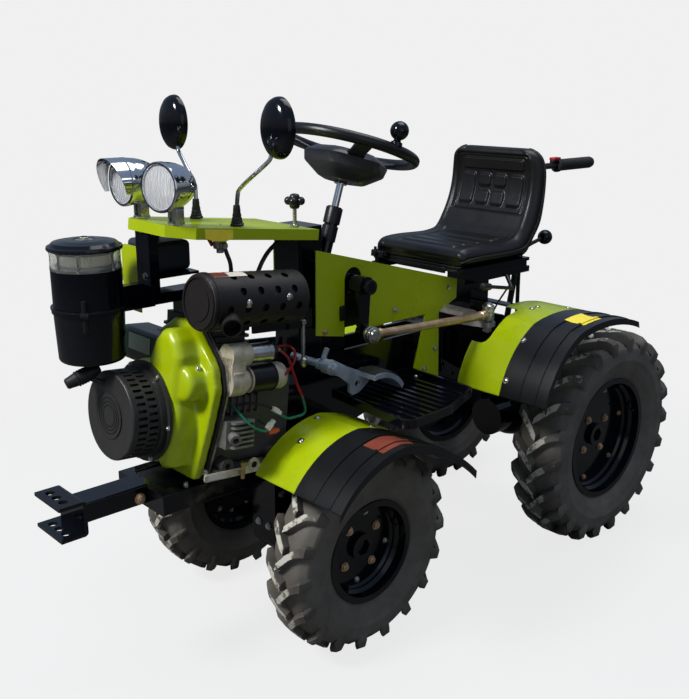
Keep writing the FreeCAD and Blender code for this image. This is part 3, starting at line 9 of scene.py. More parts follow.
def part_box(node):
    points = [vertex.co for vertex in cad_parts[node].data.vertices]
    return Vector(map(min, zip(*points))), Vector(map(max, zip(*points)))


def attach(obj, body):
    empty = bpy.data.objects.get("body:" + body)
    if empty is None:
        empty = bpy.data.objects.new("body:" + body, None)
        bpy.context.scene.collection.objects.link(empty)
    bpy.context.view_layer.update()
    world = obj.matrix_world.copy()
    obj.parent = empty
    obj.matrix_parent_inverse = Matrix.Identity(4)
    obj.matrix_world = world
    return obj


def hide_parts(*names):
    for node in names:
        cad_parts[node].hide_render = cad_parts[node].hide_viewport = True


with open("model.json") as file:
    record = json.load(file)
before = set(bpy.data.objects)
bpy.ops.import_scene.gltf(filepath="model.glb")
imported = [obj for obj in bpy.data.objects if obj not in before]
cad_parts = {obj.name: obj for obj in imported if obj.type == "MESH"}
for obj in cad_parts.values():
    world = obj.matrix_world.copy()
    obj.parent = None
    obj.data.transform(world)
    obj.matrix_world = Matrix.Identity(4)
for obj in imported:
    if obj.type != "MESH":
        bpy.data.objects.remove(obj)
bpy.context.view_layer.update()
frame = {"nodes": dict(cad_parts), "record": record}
nodes = frame["nodes"]

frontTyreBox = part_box("front_tyre_left")
axleY = (frontTyreBox[0][1] + frontTyreBox[1][1]) / 2  # the front axle, where lengths along the machine start
upward, leftward = (0, 0, 1), (1, 0, 0)


# small helpers

def toLinear(hexText):
    channels = [int(hexText[i:i + 2], 16) / 255 for i in (1, 3, 5)]
    return [c / 12.92 if c <= 0.04045 else ((c + 0.055) / 1.055) ** 2.4 for c in channels] + [1.0]


def at(x, y, z):
    # millimetres from the front axle and the floor, to the frame's metres
    return Vector((x / 1000, y / 1000 + axleY, z / 1000))


engineLean = {"degrees": 5.5, "y": -503.0, "z": 644.0}  # the engine sits nose up, turned about its crankshaft


def onEngine(x, y, z):
    # the same, for a place given on the level engine
    angle = radians(engineLean["degrees"])
    dy, dz = y - engineLean["y"], z - engineLean["z"]
    return at(x, engineLean["y"] + dy * cos(angle) + dz * sin(angle),
              engineLean["z"] + dz * cos(angle) - dy * sin(angle))


def engineWay(x, y, z):
    # a direction on the level engine, turned with its lean
    return onEngine(x, y, z) - onEngine(0, 0, 0)


def polar(radius, degrees):
    return radius * cos(radians(degrees)), radius * sin(radians(degrees))


def setUp(tree, node, settings, links):
    # settings are node attributes or socket values, links are nodes or sockets to join
    for key, value in settings.items():
        if not isinstance(key, int) and hasattr(node, key) and key not in node.inputs:
            setattr(node, key, value)
        else:
            node.inputs[key].default_value = value
    for key, source in links.items():
        target = node.inputs[int(key[1:]) if key[1:].isdigit() else key.replace("_", " ")]
        tree.links.new(source if isinstance(source, bpy.types.NodeSocket) else source.outputs[0], target)
    return node


def addNode(tree, kind, settings={}, **links):
    # a kind without a prefix is a shader node; i0, i1 and so on are inputs by number
    return setUp(tree, tree.nodes.new(kind if "Node" in kind else "ShaderNode" + kind), settings, links)


def newMaterial(name):
    # also gives the object coordinates that every pattern reads
    material = bpy.data.materials.new(name)
    material.use_nodes = True
    tree = material.node_tree
    tree.nodes.clear()
    shader = addNode(tree, "BsdfPrincipled")
    addNode(tree, "OutputMaterial", Surface=shader)
    return material, tree, shader, addNode(tree, "TexCoord").outputs["Object"]


def setRamp(ramp, *stops):
    elements = ramp.color_ramp.elements
    for element, (position, colour) in zip(elements, (stops[0], stops[-1])):
        element.position, element.color = position, toLinear(colour)
    for position, colour in stops[1:-1]:
        elements.new(position).color = toLinear(colour)


# materials

def cloudyFinish(name, stops, cloud, fine, bump, spread, values={}, relief="TexNoise"):
    # what opaque finishes share: cloudy tone, fine relief, and a roughness that follows the clouds
    material, tree, shader, where = newMaterial(name)
    clouds = addNode(tree, "TexNoise", cloud, Vector=where)
    tone = addNode(tree, "ValToRGB", Fac=clouds)
    setRamp(tone, *stops)
    setUp(tree, shader, values, {
        "Base Color": tone, "Roughness": addNode(tree, "MapRange", spread, Value=clouds),
        "Normal": addNode(tree, "Bump", bump, Height=addNode(tree, relief, fine, Vector=where))})
    return material, tree, shader, where, tone


def paintFinish(name, colour, worn, roughness, coat=0.0, speck=0.0, gloss=0.5):
    # sprayed enamel on sheet and castings: even colour, soft 2 mm orange peel, dust dulling it in places
    material, tree, shader, where, tone = cloudyFinish(
        name, ((0.35, worn), (0.62, colour)), {"Scale": 7.0, "Detail": 5.0, "Roughness": 0.6},
        {"Scale": 420.0, "Detail": 2.0}, {"Strength": 0.06, "Distance": 0.0006},
        {"From Min": 0.3, "From Max": 0.75, "To Min": roughness - 0.05, "To Max": roughness + 0.12},
        {"Coat Weight": coat, "Coat Roughness": 0.12, "Specular IOR Level": gloss})
    if speck:
        grit = addNode(tree, "TexNoise", {"Scale": 190.0, "Detail": 2.0}, Vector=where)  # 5 mm dust specks
        spots = addNode(tree, "MapRange", {"From Min": 0.68, "From Max": 0.78, "To Max": speck}, Value=grit)
        dusty = addNode(tree, "Mix", {"data_type": "RGBA", 7: toLinear("#B9B3A2")}, i0=spots, i6=tone)
        setUp(tree, shader, {}, {"Base Color": dusty.outputs[2]})
    return material


def metalFinish(name, colour, shade, roughness, grain=60.0, depth=0.3, metal=1.0):
    # bare or plated metal: cloudy tone and fine tool marks or casting grain
    return cloudyFinish(
        name, ((0.3, shade), (0.7, colour)), {"Scale": grain, "Detail": 6.0},
        {"Scale": grain * 9, "Detail": 3.0}, {"Strength": depth, "Distance": 0.0005},
        {"To Min": roughness - 0.06, "To Max": roughness + 0.1}, {"Metallic": metal})[0]


def mouldedFinish(name, colour, shade, roughness, grain=900.0, depth=0.15):
    # moulded plastic or rubber: fine pebbled skin with slow changes of gloss
    return cloudyFinish(
        name, ((0.38, shade), (0.68, colour)), {"Scale": 14.0, "Detail": 6.0, "Roughness": 0.65},
        {"Scale": grain}, {"Strength": depth, "Distance": 0.0004},
        {"To Min": roughness - 0.08, "To Max": roughness + 0.12}, {"Specular IOR Level": 0.4}, "TexVoronoi")[0]


def treadFinish(name, colour, shade, scuff, roughness):
    # natural rubber lugs: dull dark grey with 2 mm grain, and pale mould dust and paint scuffs on their tops
    material, tree, shader, where, tone = cloudyFinish(
        name, ((0.38, shade), (0.68, colour)), {"Scale": 14.0, "Detail": 6.0},
        {"Scale": 500.0, "Detail": 3.0}, {"Strength": 0.3, "Distance": 0.0005},
        {"To Min": roughness, "To Max": roughness})
    patch = addNode(tree, "TexNoise", {"Scale": 42.0, "Detail": 8.0, "Roughness": 0.7}, Vector=where)
    worn = addNode(tree, "Attribute", {"attribute_name": "wear"})
    both = addNode(tree, "Math", {"operation": "MULTIPLY"}, i0=patch, i1=worn.outputs["Fac"])
    edge = addNode(tree, "MapRange", {"From Min": 0.42, "From Max": 0.5, "To Max": 0.85}, Value=both)
    dusty = addNode(tree, "Mix", {"data_type": "RGBA", 7: toLinear(scuff)}, i0=edge, i6=tone)
    setUp(tree, shader, {}, {"Base Color": dusty.outputs[2]})
    return material


def clearFinish(name, colour, roughness, transmission=1.0, flute=0.0):
    # clear moulded plastic or pressed glass, a little hazy in places
    material, tree, shader, where = newMaterial(name)
    haze = addNode(tree, "TexNoise", {"Scale": 25.0, "Detail": 3.0}, Vector=where)
    spread = addNode(tree, "MapRange", {"To Min": roughness, "To Max": roughness + 0.12}, Value=haze)
    setUp(tree, shader, {"Base Color": toLinear(colour), "Transmission Weight": transmission, "IOR": 1.49},
          {"Roughness": spread})
    if flute:  # pressed ribs this many millimetres apart
        ribs = addNode(tree, "TexWave", {"Scale": 314 / flute, "Distortion": 0.6}, Vector=where)
        bump = addNode(tree, "Bump", {"Strength": 0.5, "Distance": 0.002}, Height=ribs.outputs["Fac"])
        setUp(tree, shader, {}, {"Normal": bump})
    return material


def sealedSheetFinish(name, rubber, metal, seam):
    # black rubber seal in front of the seam, galvanised sheet with 6 mm spangle behind it
    material, tree, shader, where = newMaterial(name)
    pivot, lean = at(0, engineLean["y"], engineLean["z"]), radians(engineLean["degrees"])
    level = addNode(tree, "Mapping", {"Location": pivot - Matrix.Rotation(lean, 3, "X") @ pivot,
                                      "Rotation": (lean, 0, 0)}, Vector=where)
    along = addNode(tree, "SeparateXYZ", i0=level).outputs["Y"]
    behind = addNode(tree, "Math", {"operation": "GREATER_THAN", 1: at(0, seam, 0).y}, i0=along)
    spangle = addNode(tree, "TexVoronoi", {"Scale": 160.0}, Vector=where)
    zinc = addNode(tree, "Mix", {"data_type": "RGBA", 6: toLinear(metal), 7: toLinear("#8D8B84")}, i0=spangle)
    tone = addNode(tree, "Mix", {"data_type": "RGBA", 6: toLinear(rubber)}, i0=behind, i7=zinc.outputs[2])
    spread = addNode(tree, "MapRange", {"To Min": 0.6, "To Max": 0.34}, Value=behind)
    setUp(tree, shader, {}, {"Base Color": tone.outputs[2], "Roughness": spread, "Metallic": behind})
    return material


greenEnamel = paintFinish("limeEnamel", "#A3B502", "#9EB004", 0.27, 0.1)
darkGreenEnamel = paintFinish("darkGreenEnamel", "#10301A", "#16281B", 0.3)
blackEnamel = paintFinish("glossBlackEnamel", "#05060B", "#080A10", 0.09, 0.0, 0.03, 0.34)
satinBlack = paintFinish("satinBlackPaint", "#0D0D0E", "#141415", 0.34, 0.0, 0.08, 0.32)
exhaustPaint = paintFinish("heatProofPaint", "#191615", "#211C1A", 0.46, 0.0, 0.08, 0.35)  # dull, greyed
hubMoulding = mouldedFinish("hubPolypropylene", "#2A2B2F", "#33343A", 0.28, 900.0, 0.05)
coverPaint = paintFinish("satinCoverPaint", "#252423", "#2C2B2A", 0.42, 0.0, 0.1, 0.4)
blueZinc = metalFinish("blueZincPlate", "#C3CCD4", "#98A1A8", 0.3, 30.0, metal=0.5)
agedPlate = paintFinish("dulledGreyPaint", "#A0AC96", "#8D9983", 0.45, 0.0, 0.2)
pumpAlloy = metalFinish("agedCastAlloy", "#8F8C84", "#6B6962", 0.5, 45.0, metal=0.6)
blackMoulding = mouldedFinish("blackPolypropylene", "#0B0B0D", "#121214", 0.3)
gripRubber = mouldedFinish("gripRubber", "#141414", "#1D1C1C", 0.5, 600.0, 0.3)
tyreRubber = mouldedFinish("tyreSidewallRubber", "#6A655D", "#58534B", 0.7, 420.0, 0.3)
tankPlastic = mouldedFinish("blueGreyPolyethylene", "#2A3038", "#242A31", 0.4)
treadRubber = treadFinish("treadRubber", "#666158", "#48433C", "#CFCBBB", 0.72)
castAlloy = metalFinish("dieCastAlloy", "#BDBAB1", "#8B8880", 0.45, 45.0, metal=0.6)
creamAlloy = metalFinish("sandCastAlloy", "#D8CDB6", "#B0A68F", 0.5, 60.0, metal=0.45)
greyCasting = paintFinish("primedGreyCasting", "#4A4642", "#3A3733", 0.5, 0.0, 0.2)
zincPlate = metalFinish("brightZincPlate", "#D2D1CC", "#A3A29C", 0.26, 30.0)
yellowZinc = metalFinish("yellowZincPlate", "#D9BB98", "#B08F68", 0.3, 30.0, metal=0.75)
chromePlate = metalFinish("chromePlate", "#D9DADB", "#C4C6C8", 0.08, 8.0, depth=0.02)
mirrorSilver = metalFinish("silveredGlass", "#DDE1E3", "#D0D5D8", 0.07, 5.0, depth=0.01)
brassFinish = metalFinish("machinedBrass", "#BFA878", "#8E7B50", 0.35, 40.0)
# lamp glass a third milky white: painted glare standing for the bright silvered reflector behind it
lampGlassPaintedGlare = clearFinish("pressedLampGlassPaintedGlare", "#FAFBFC", 0.03, 0.66, 8.0)
bowlPlastic = clearFinish("clearBowlPlastic", "#DDE2DD", 0.04, 0.92)
seatVinyl = mouldedFinish("embossedSeatVinyl", "#161412", "#0F0E0E", 0.33, 700.0, 0.3)
sealRubber = sealedSheetFinish("gasketAndGalvanisedSheet", "#121212", "#B8B6AF", -327.1)
redWire = mouldedFinish("redCableJacket", "#B01620", "#8E121A", 0.35)
greenWire = mouldedFinish("greenCableJacket", "#12805A", "#0D6647", 0.35)
blackWire = mouldedFinish("blackCableJacket", "#151515", "#202020", 0.4)
nylonWhite = mouldedFinish("nylonConnector", "#E4DFCE", "#CFC9B6", 0.4)
orangeNylon = mouldedFinish("orangeNylonConnector", "#D2553A", "#B8452C", 0.4)
yellowLabel = mouldedFinish("yellowLabelVinyl", "#FFE94A", "#F2DA38", 0.35, 300.0, 0.05)
redLabel = mouldedFinish("redLabelVinyl", "#84402F", "#6F3527", 0.3, 300.0, 0.05)
paleLabel = mouldedFinish("paleLabelVinyl", "#E2DCCE", "#D3CBBB", 0.4, 300.0, 0.05)

slotFinish = {
    "green_paint": greenEnamel, "dark_green_paint": darkGreenEnamel, "black_paint": blackEnamel,
    "dark_casting": greyCasting, "black_plastic": blackMoulding, "tyre_rubber": tyreRubber,
    "cast_metal": castAlloy, "zinc_steel": yellowZinc, "chrome": chromePlate, "lamp_glass": lampGlassPaintedGlare,
    "clear_bowl": bowlPlastic, "seat_vinyl": seatVinyl}
nodeFinish = {
    "hand_lever": satinBlack, "muffler": exhaustPaint, "engine_plate": sealRubber, "fuel_tank": tankPlastic,
    "pitman_arm": blackEnamel, "recoil_starter": coverPaint, "brake_pedal": blueZinc,
    "injection_pump": pumpAlloy}
# each node's finish: its own where it is listed, else the one for its material slot
for entry in frame["record"]["subparts"]:
    node = nodes[entry["node"]]
    finish = nodeFinish.get(entry["node"], slotFinish[entry["material_slot"]])
    for slot in node.material_slots:
        slot.material = finish
print("materials on", len(nodes), "nodes")


# shape helpers: each gives a list of points and a list of faces, in metres

def gridFaces(rows, wide, first=0, closed=True):
    # quads between rows of points that are numbered one after another, each row closed or open
    return [[first + row * wide + k, first + row * wide + (k + 1) % wide,
             first + (row + 1) * wide + (k + 1) % wide, first + (row + 1) * wide + k]
            for row in range(rows - 1) for k in range(wide if closed else wide - 1)]


def sheetFaces(rows, wide):
    # two open grids of points, one above the other, closed round their rim
    half = rows * wide
    rim = list(range(wide)) + [row * wide + wide - 1 for row in range(1, rows)]
    rim += [(rows - 1) * wide + k for k in reversed(range(wide - 1))]
    rim += [row * wide for row in reversed(range(1, rows - 1))]
    return (gridFaces(rows, wide, 0, False) + gridFaces(rows, wide, half, False)
            + [[a, b, b + half, a + half] for a, b in zip(rim, rim[1:] + rim[:1])])


def lathe(profile, origin, direction, steps=40):
    # profile of (radius, distance along the axis) in millimetres; a radius of 0 closes the end
    axis = Vector(direction).normalized()
    side = axis.orthogonal().normalized()
    other = axis.cross(side)
    points, faces, rows = [], [], []
    for radius, along in profile:
        centre = origin + axis * (along / 1000)
        if radius < 0.01:
            points.append(centre)
            rows.append([len(points) - 1] * steps)
            continue
        start = len(points)
        for step in range(steps):
            turn = tau * step / steps
            points.append(centre + (side * cos(turn) + other * sin(turn)) * (radius / 1000))
        rows.append(list(range(start, start + steps)))
    for low, high in zip(rows, rows[1:]):
        for step in range(steps):
            following = (step + 1) % steps
            corners = list(dict.fromkeys((low[step], low[following], high[following], high[step])))
            if len(corners) > 2:
                faces.append(corners)
    return points, faces


def rod(start, end, radius, steps=20, edge=0.6):
    # a round bar with softened ends
    length = (end - start).length * 1000
    return lathe([(0, 0), (radius - edge, 0), (radius, edge), (radius, length - edge),
                  (radius - edge, length), (0, length)], start, end - start, steps)


def shapeOf(mesh, place):
    mesh.verts.index_update()
    shape = ([place(*vert.co) for vert in mesh.verts],
             [[vert.index for vert in face.verts] for face in mesh.faces])
    mesh.free()
    return shape


def box(low, high, edge=1.0, place=at):
    # a block with softened edges between two corners in millimetres
    mesh = bmesh.new()
    bmesh.ops.create_cube(mesh, size=1)
    for vert in mesh.verts:
        vert.co = [(a + b) / 2 + c * (b - a) for a, b, c in zip(low, high, vert.co)]
    if edge:
        bmesh.ops.bevel(mesh, geom=mesh.edges[:], offset=edge, segments=2, affect="EDGES", profile=0.5)
    return shapeOf(mesh, place)


def plate(outline, low, high, axis="x", edge=0.6, place=at):
    # a flat outline in millimetres, given thickness along one axis
    order = {"x": lambda a, b, t: (t, a, b), "y": lambda a, b, t: (a, t, b),
             "z": lambda a, b, t: (a, b, t)}[axis]
    mesh = bmesh.new()
    base = mesh.faces.new([mesh.verts.new(order(a, b, low)) for a, b in outline])
    grown = bmesh.ops.extrude_face_region(mesh, geom=[base])
    for vert in (item for item in grown["geom"] if isinstance(item, bmesh.types.BMVert)):
        vert.co += Vector(order(0, 0, high - low))
    bmesh.ops.recalc_face_normals(mesh, faces=mesh.faces[:])
    if edge:
        bmesh.ops.bevel(mesh, geom=mesh.edges[:], offset=edge, segments=1, affect="EDGES")
    return shapeOf(mesh, place)


def roundOutline(corners, radius, steps=4):
    # a polygon in millimetres with its corners rounded
    outline = []
    count = len(corners)
    for index, corner in enumerate(corners):
        here = Vector(corner)
        before, after = Vector(corners[index - 1]) - here, Vector(corners[(index + 1) % count]) - here
        reach = min(radius, before.length * 0.45, after.length * 0.45)
        start, end = here + before.normalized() * reach, here + after.normalized() * reach
        for step in range(steps + 1):
            share = step / steps
            outline.append(tuple(start * (1 - share) ** 2 + here * 2 * share * (1 - share)
                                 + end * share ** 2))
    return outline


def cable(route, radius, place=at, order=3, steps=6):
    # a round cable or bent bar whose line is a smooth NURBS curve
    data = bpy.data.curves.new("cableRoute", "CURVE")
    data.dimensions = "3D"
    data.bevel_depth, data.bevel_resolution, data.use_fill_caps = radius / 1000, 2, True
    spline = data.splines.new("NURBS")
    spline.points.add(len(route) - 1)
    for point, spot in zip(spline.points, route):
        point.co = (*place(*spot), 1)
    spline.order_u, spline.use_endpoint_u, spline.resolution_u = order, True, steps
    curve = bpy.data.objects.new("cableRoute", data)
    mesh = bpy.data.meshes.new_from_object(curve)
    shape = [vert.co.copy() for vert in mesh.vertices], [list(face.vertices) for face in mesh.polygons]
    bpy.data.objects.remove(curve)
    bpy.data.curves.remove(data)
    bpy.data.meshes.remove(mesh)
    return shape


def facedOut(mesh, merge=0):
    # normals outward, after doubles are merged
    tidy = bmesh.new()
    tidy.from_mesh(mesh)
    if merge:
        bmesh.ops.remove_doubles(tidy, verts=tidy.verts[:], dist=merge)
    bmesh.ops.recalc_face_normals(tidy, faces=tidy.faces[:])
    tidy.to_mesh(mesh)
    tidy.free()
    return mesh


def addPiece(name, shapes, material, smooth=30, body="front", replaced=()):
    # one mesh object from a list of shapes, riding on a body, with its material
    points, faces = [], []
    for shapePoints, shapeFaces in shapes:
        faces += [[index + len(points) for index in face] for face in shapeFaces]
        points += shapePoints
    mesh = bpy.data.meshes.new(name)
    mesh.from_pydata([tuple(point) for point in points], [], faces)
    return finishPiece(name, facedOut(mesh, 0.00001), material, body, smooth, replaced)


def finishPiece(name, mesh, material, body, smooth, replaced=()):
    mesh.shade_smooth()
    mesh.set_sharp_from_angle(angle=radians(smooth))
    if material:
        mesh.materials.clear()
        mesh.materials.append(material)
    piece = bpy.data.objects.new(name, mesh)
    bpy.context.scene.collection.objects.link(piece)
    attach(piece, body)
    if replaced:
        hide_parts(*replaced)
    return piece


def newTree(name, inputs):
    # an empty Geometry Nodes tree with a geometry input and the named inputs
    tree = bpy.data.node_groups.new(name, "GeometryNodeTree")
    tree.interface.new_socket("Geometry", in_out="INPUT", socket_type="NodeSocketGeometry")
    for label, kind in inputs:
        tree.interface.new_socket(label, in_out="INPUT", socket_type="NodeSocket" + kind)
    tree.interface.new_socket("Geometry", in_out="OUTPUT", socket_type="NodeSocketGeometry")
    return tree, tree.nodes.new("NodeGroupInput")


def closeTree(tree, source, geometry):
    real = addNode(tree, "GeometryNodeRealizeInstances", i0=geometry)
    painted = addNode(tree, "GeometryNodeSetMaterial", i0=real, Material=source.outputs["Finish"])
    addNode(tree, "NodeGroupOutput", i0=painted)


def runTree(tree, mesh, values):
    # the tree's result on a mesh, as a plain mesh
    carrier = bpy.data.objects.new("treeCarrier", mesh)
    bpy.context.scene.collection.objects.link(carrier)
    modifier = carrier.modifiers.new("field", "NODES")
    modifier.node_group = tree
    for socket in tree.interface.items_tree:
        if socket.in_out == "INPUT" and socket.name in values:
            modifier[socket.identifier] = values[socket.name]
    graph = bpy.context.evaluated_depsgraph_get()
    plain = bpy.data.meshes.new_from_object(carrier.evaluated_get(graph))
    bpy.data.objects.remove(carrier)
    plain.materials.clear()
    plain.materials.append(values["Finish"])
    for face in plain.polygons:
        face.material_index = 0
    return plain


# fasteners: one tree sets a head on every spot, turned to the spot's direction

def fastenerTree(domed):
    tree, source = newTree("domedScrews" if domed else "hexBolts", [
        ("Washer Width", "Float"), ("Head Height", "Float"), ("Finish", "Material")])
    wide = source.outputs["Washer Width"]
    washer = addNode(tree, "GeometryNodeMeshCylinder", {"Vertices": 18, "Radius": 1.0, "Depth": 0.22})
    parts = [addNode(tree, "GeometryNodeTransform", {"Translation": (0, 0, 0.09)}, Geometry=washer,
                     Scale=addNode(tree, "CombineXYZ", {"Z": 1.0}, X=wide, Y=wide))]
    rise = addNode(tree, "CombineXYZ", {"X": 1.0, "Y": 1.0}, Z=source.outputs["Head Height"])
    if domed:
        dome = addNode(tree, "GeometryNodeMeshUVSphere", {"Segments": 16, "Rings": 8, "Radius": 1.0})
        parts.insert(0, addNode(tree, "GeometryNodeTransform", {"Translation": (0, 0, 0.15)},
                                Geometry=dome, Scale=rise))
    else:
        layers = (("Cylinder", {"Vertices": 6, "Radius": 1.0, "Depth": 0.7}, 0.45),
                  ("Cone", {"Vertices": 12, "Radius Bottom": 0.97, "Radius Top": 0.82, "Depth": 0.1}, 0.8),
                  ("Cylinder", {"Vertices": 12, "Radius": 0.46, "Depth": 0.3}, 0.95))
        for index, (shape, settings, height) in enumerate(layers):
            moved = addNode(tree, "GeometryNodeTransform", {"Translation": (0, 0, height)},
                            Geometry=addNode(tree, "GeometryNodeMesh" + shape, settings))
            parts.insert(index, addNode(tree, "GeometryNodeTransform", Geometry=moved, Scale=rise))
    head = addNode(tree, "GeometryNodeJoinGeometry")
    for part in parts:
        tree.links.new(part.outputs[0], head.inputs[0])
    axis = addNode(tree, "GeometryNodeInputNamedAttribute", {"data_type": "FLOAT_VECTOR", "Name": "axis"})
    size = addNode(tree, "GeometryNodeInputNamedAttribute", {"data_type": "FLOAT", "Name": "size"})
    turn = addNode(tree, "FunctionNodeAlignRotationToVector", Vector=axis)
    heads = addNode(tree, "GeometryNodeInstanceOnPoints", Points=source, Instance=head, Rotation=turn,
                    Scale=size)
    closeTree(tree, source, heads)
    return tree


hexTree = fastenerTree(False)
domeTree = fastenerTree(True)


def fastenerField(name, spots, material, body="front", tree=hexTree, washer=1.3, height=1.0):
    # spots are (place, direction, half width of the head in millimetres)
    mesh = bpy.data.meshes.new(name)
    mesh.from_pydata([tuple(place) for place, direction, size in spots], [], [])
    for label, kind in (("axis", "FLOAT_VECTOR"), ("size", "FLOAT")):
        mesh.attributes.new(label, kind, "POINT")
    for index, (place, direction, size) in enumerate(spots):
        mesh.attributes["axis"].data[index].vector = Vector(direction).normalized()
        mesh.attributes["size"].data[index].value = size / 1000
    plain = runTree(tree, mesh, {"Washer Width": washer, "Head Height": height, "Finish": material})
    return finishPiece(name, plain, None, body, 30)


print("helpers ready")


# wheels: carcass, chevron lugs set round it by a tree, hub bolts and valve

tyres = {
    "front": {"radius": 258, "half": 62.5, "rimRadius": 131, "rimHalf": 41.7, "lug": 19, "count": 18,
              "sweep": 58, "bar": 25, "hubBolts": 64,
              "plateBolts": ((88, 81), (88, -10), (88, -97), (88, 172))},
    "rear": {"radius": 320, "half": 75, "rimRadius": 183, "rimHalf": 48.7, "lug": 23, "count": 22,
             "sweep": 68, "bar": 29, "hubBolts": 64,
             "plateBolts": tuple((135, angle) for angle in (75, 15, -45, -105, -165, 135))}}


def crownDrop(x, half):
    # how far the lug tops fall away from the tyre's full radius towards the shoulder
    stops = ((0, 0), (half - 38, 0), (half - 20, 4), (half - 7, 13), (half + 1, 19))
    for (a, low), (b, high) in zip(stops, stops[1:]):
        if x <= b:
            return low + (high - low) * (max(x, 0) - a) / (b - a)
    return stops[-1][1]


def carcassProfile(spec):
    radius, half, lug, rim = spec["radius"], spec["half"], spec["lug"], spec["rimHalf"]
    lip = spec["rimRadius"] + 2
    # bead on the rim; (in from the sidewall, share of its height); (in, drop below the tread's base)
    side = [(rim, lip - 14), (rim + 0.4, lip + 1), (rim + 4, lip + 4), (rim + 5, lip + 7)]
    side += [(half - x, lip + share * (radius - lip)) for x, share in (
        (10, 0.15), (5.5, 0.26), (2.6, 0.38), (1.2, 0.40), (1.4, 0.43), (2.4, 0.46), (2.8, 0.56), (5, 0.66),
        (6.5, 0.68))]
    side += [(half - x, radius - lug - drop)
             for x, drop in ((9, 19), (15, 10), (25, 4), (40, 0.8), (half, 0))]
    return [(r, -x) for x, r in side] + [(r, x) for x, r in reversed(side[:-1])] + [(lip - 14, -rim)]


def lugPair(spec):
    # one lug on each side of the tread, half a pitch apart, as a mesh with its wear
    radius, half, lug, bar = spec["radius"], spec["half"], spec["lug"], spec["bar"]
    # across the tread, share of the sweep, width, how far the top has come down, base place
    rows = [(-9, 1.0, 0.72, 0, None), (4, 0.8, 0.98, 0, None), (0.28 * half, 0.53, 1.0, 0, None),
            (0.5 * half, 0.29, 0.96, 0, None), (half - 20, 0.13, 0.94, 0, None),
            (half - 9, 0.03, 1.0, 0, None), (half - 3, 0, 1.06, 17, (half - 10, 17)),
            (half - 1.2, 0, 1.04, 30, (half - 6, 31)), (half - 0.8, 0, 0.94, 44, (half - 4, 46))]
    last = len(rows) - 1
    points, faces, wear = [], [], []
    for side in (1, -1):
        start = len(points)
        for x, share, wide, down, base in rows:
            top = radius - (down or crownDrop(x, half))
            baseX, low = (base[0], radius - lug * 0.6 - base[1]) if base else (
                x, radius - lug - 2 - crownDrop(x, half) * 0.8)
            middle = pi + share * spec["sweep"] / radius + (pi / spec["count"] if side < 0 else 0)
            for rise, spread, mark in ((0, 0.66, 0), (0.8, 0.5, 0.5), (1, 0.4, 1), (1, -0.4, 1),
                                       (0.8, -0.5, 0.4), (0, -0.66, 0)):
                r, turn = low + (top - low) * rise, middle + spread * wide * bar / radius
                points.append(
                    Vector((side * (baseX + (x - baseX) * rise), r * cos(turn), r * sin(turn))) / 1000)
                wear.append(mark * (1.0 if share > 0.2 else 0.72 if down < 20 else 0.3))
        faces += gridFaces(len(rows), 6, start, False)
        faces += [[start + k for k in range(6)], [start + 6 * last + k for k in reversed(range(6))]]
    mesh = bpy.data.meshes.new("lugPair")
    mesh.from_pydata([tuple(point) for point in points], [], faces)
    mark = mesh.attributes.new("wear", "FLOAT", "POINT")
    for index, value in enumerate(wear):
        mark.data[index].value = value
    return facedOut(mesh)


def treadTree():
    tree, source = newTree("chevronTread", [("Count", "Int"), ("Centre", "Vector"), ("Finish", "Material")])
    count, centre = source.outputs["Count"], source.outputs["Centre"]
    share = addNode(tree, "Math", {"operation": "DIVIDE"}, i0=addNode(tree, "GeometryNodeInputIndex"),
                    i1=count)
    angle = addNode(tree, "Math", {"operation": "MULTIPLY", 1: tau}, i0=share)
    rotation = addNode(tree, "FunctionNodeEulerToRotation", i0=addNode(tree, "CombineXYZ", X=angle))
    lugs = addNode(
        tree, "GeometryNodeInstanceOnPoints", Points=addNode(tree, "GeometryNodePoints", Count=count),
        Instance=source, Rotation=rotation)
    closeTree(tree, source, addNode(tree, "GeometryNodeTransform", Geometry=lugs, Translation=centre))
    return tree


def onTyre(node, x, radius, degrees):
    # a place on a wheel in millimetres, its x outward from the middle of the tyre's box
    low, high = (Vector(corner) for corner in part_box(node))
    return (low + high) / 2 + Vector((x if "left" in node else -x, *polar(radius, degrees))) / 1000


treadNodes = treadTree()
for end, spec in tyres.items():
    for side, sign in (("left", 1), ("right", -1)):
        label, body, node = end + side.capitalize(), "%s_wheel_%s" % (end, side), "%s_tyre_%s" % (end, side)
        centre = onTyre(node, 0, 0, 0)
        addPiece(label + "TyreCarcass", [lathe(carcassProfile(spec), centre, leftward, 96)], tyreRubber, 45,
                 body=body, replaced=[node])
        tread = runTree(treadNodes, lugPair(spec),
                        {"Count": spec["count"], "Centre": centre, "Finish": treadRubber})
        finishPiece(label + "Tread", tread, None, body, 30)
        hub = [(onTyre(node, 3.5, spec["hubBolts"], 36.5 + 90 * k), (sign, 0, 0), 9.0) for k in range(4)]
        fastenerField(label + "HubBolts", hub, yellowZinc, body)
        rimBolts = [(onTyre(node, 3.5, *spot), (sign, 0, 0), 6.5) for spot in spec["plateBolts"]]
        fastenerField(label + "PlateBolts", rimBolts, zincPlate if end == "front" else yellowZinc, body)
        foot = onTyre(node, spec["rimHalf"] - 26, spec["rimRadius"] - 26, 20)
        valve = [(0, -12), (4.5, -12), (4.5, 0), (3, 3), (2.6, 16), (3.4, 17), (3.4, 24), (0, 25)]
        addPiece(label + "Valve", [lathe(valve, foot, (sign, -0.25, -0.1), 12)], gripRubber, 38, body=body)
print("wheels")


def dropOn(nodeName, x, y, fromZ=1400):
    # the point and outward direction where a line straight down meets a node
    node = nodes[nodeName]
    back = node.matrix_world.inverted()
    spot, normal = node.ray_cast(back @ at(x, y, fromZ), back.to_3x3() @ Vector((0, 0, -1)))[1:3]
    return node.matrix_world @ spot, node.matrix_world.to_3x3() @ normal


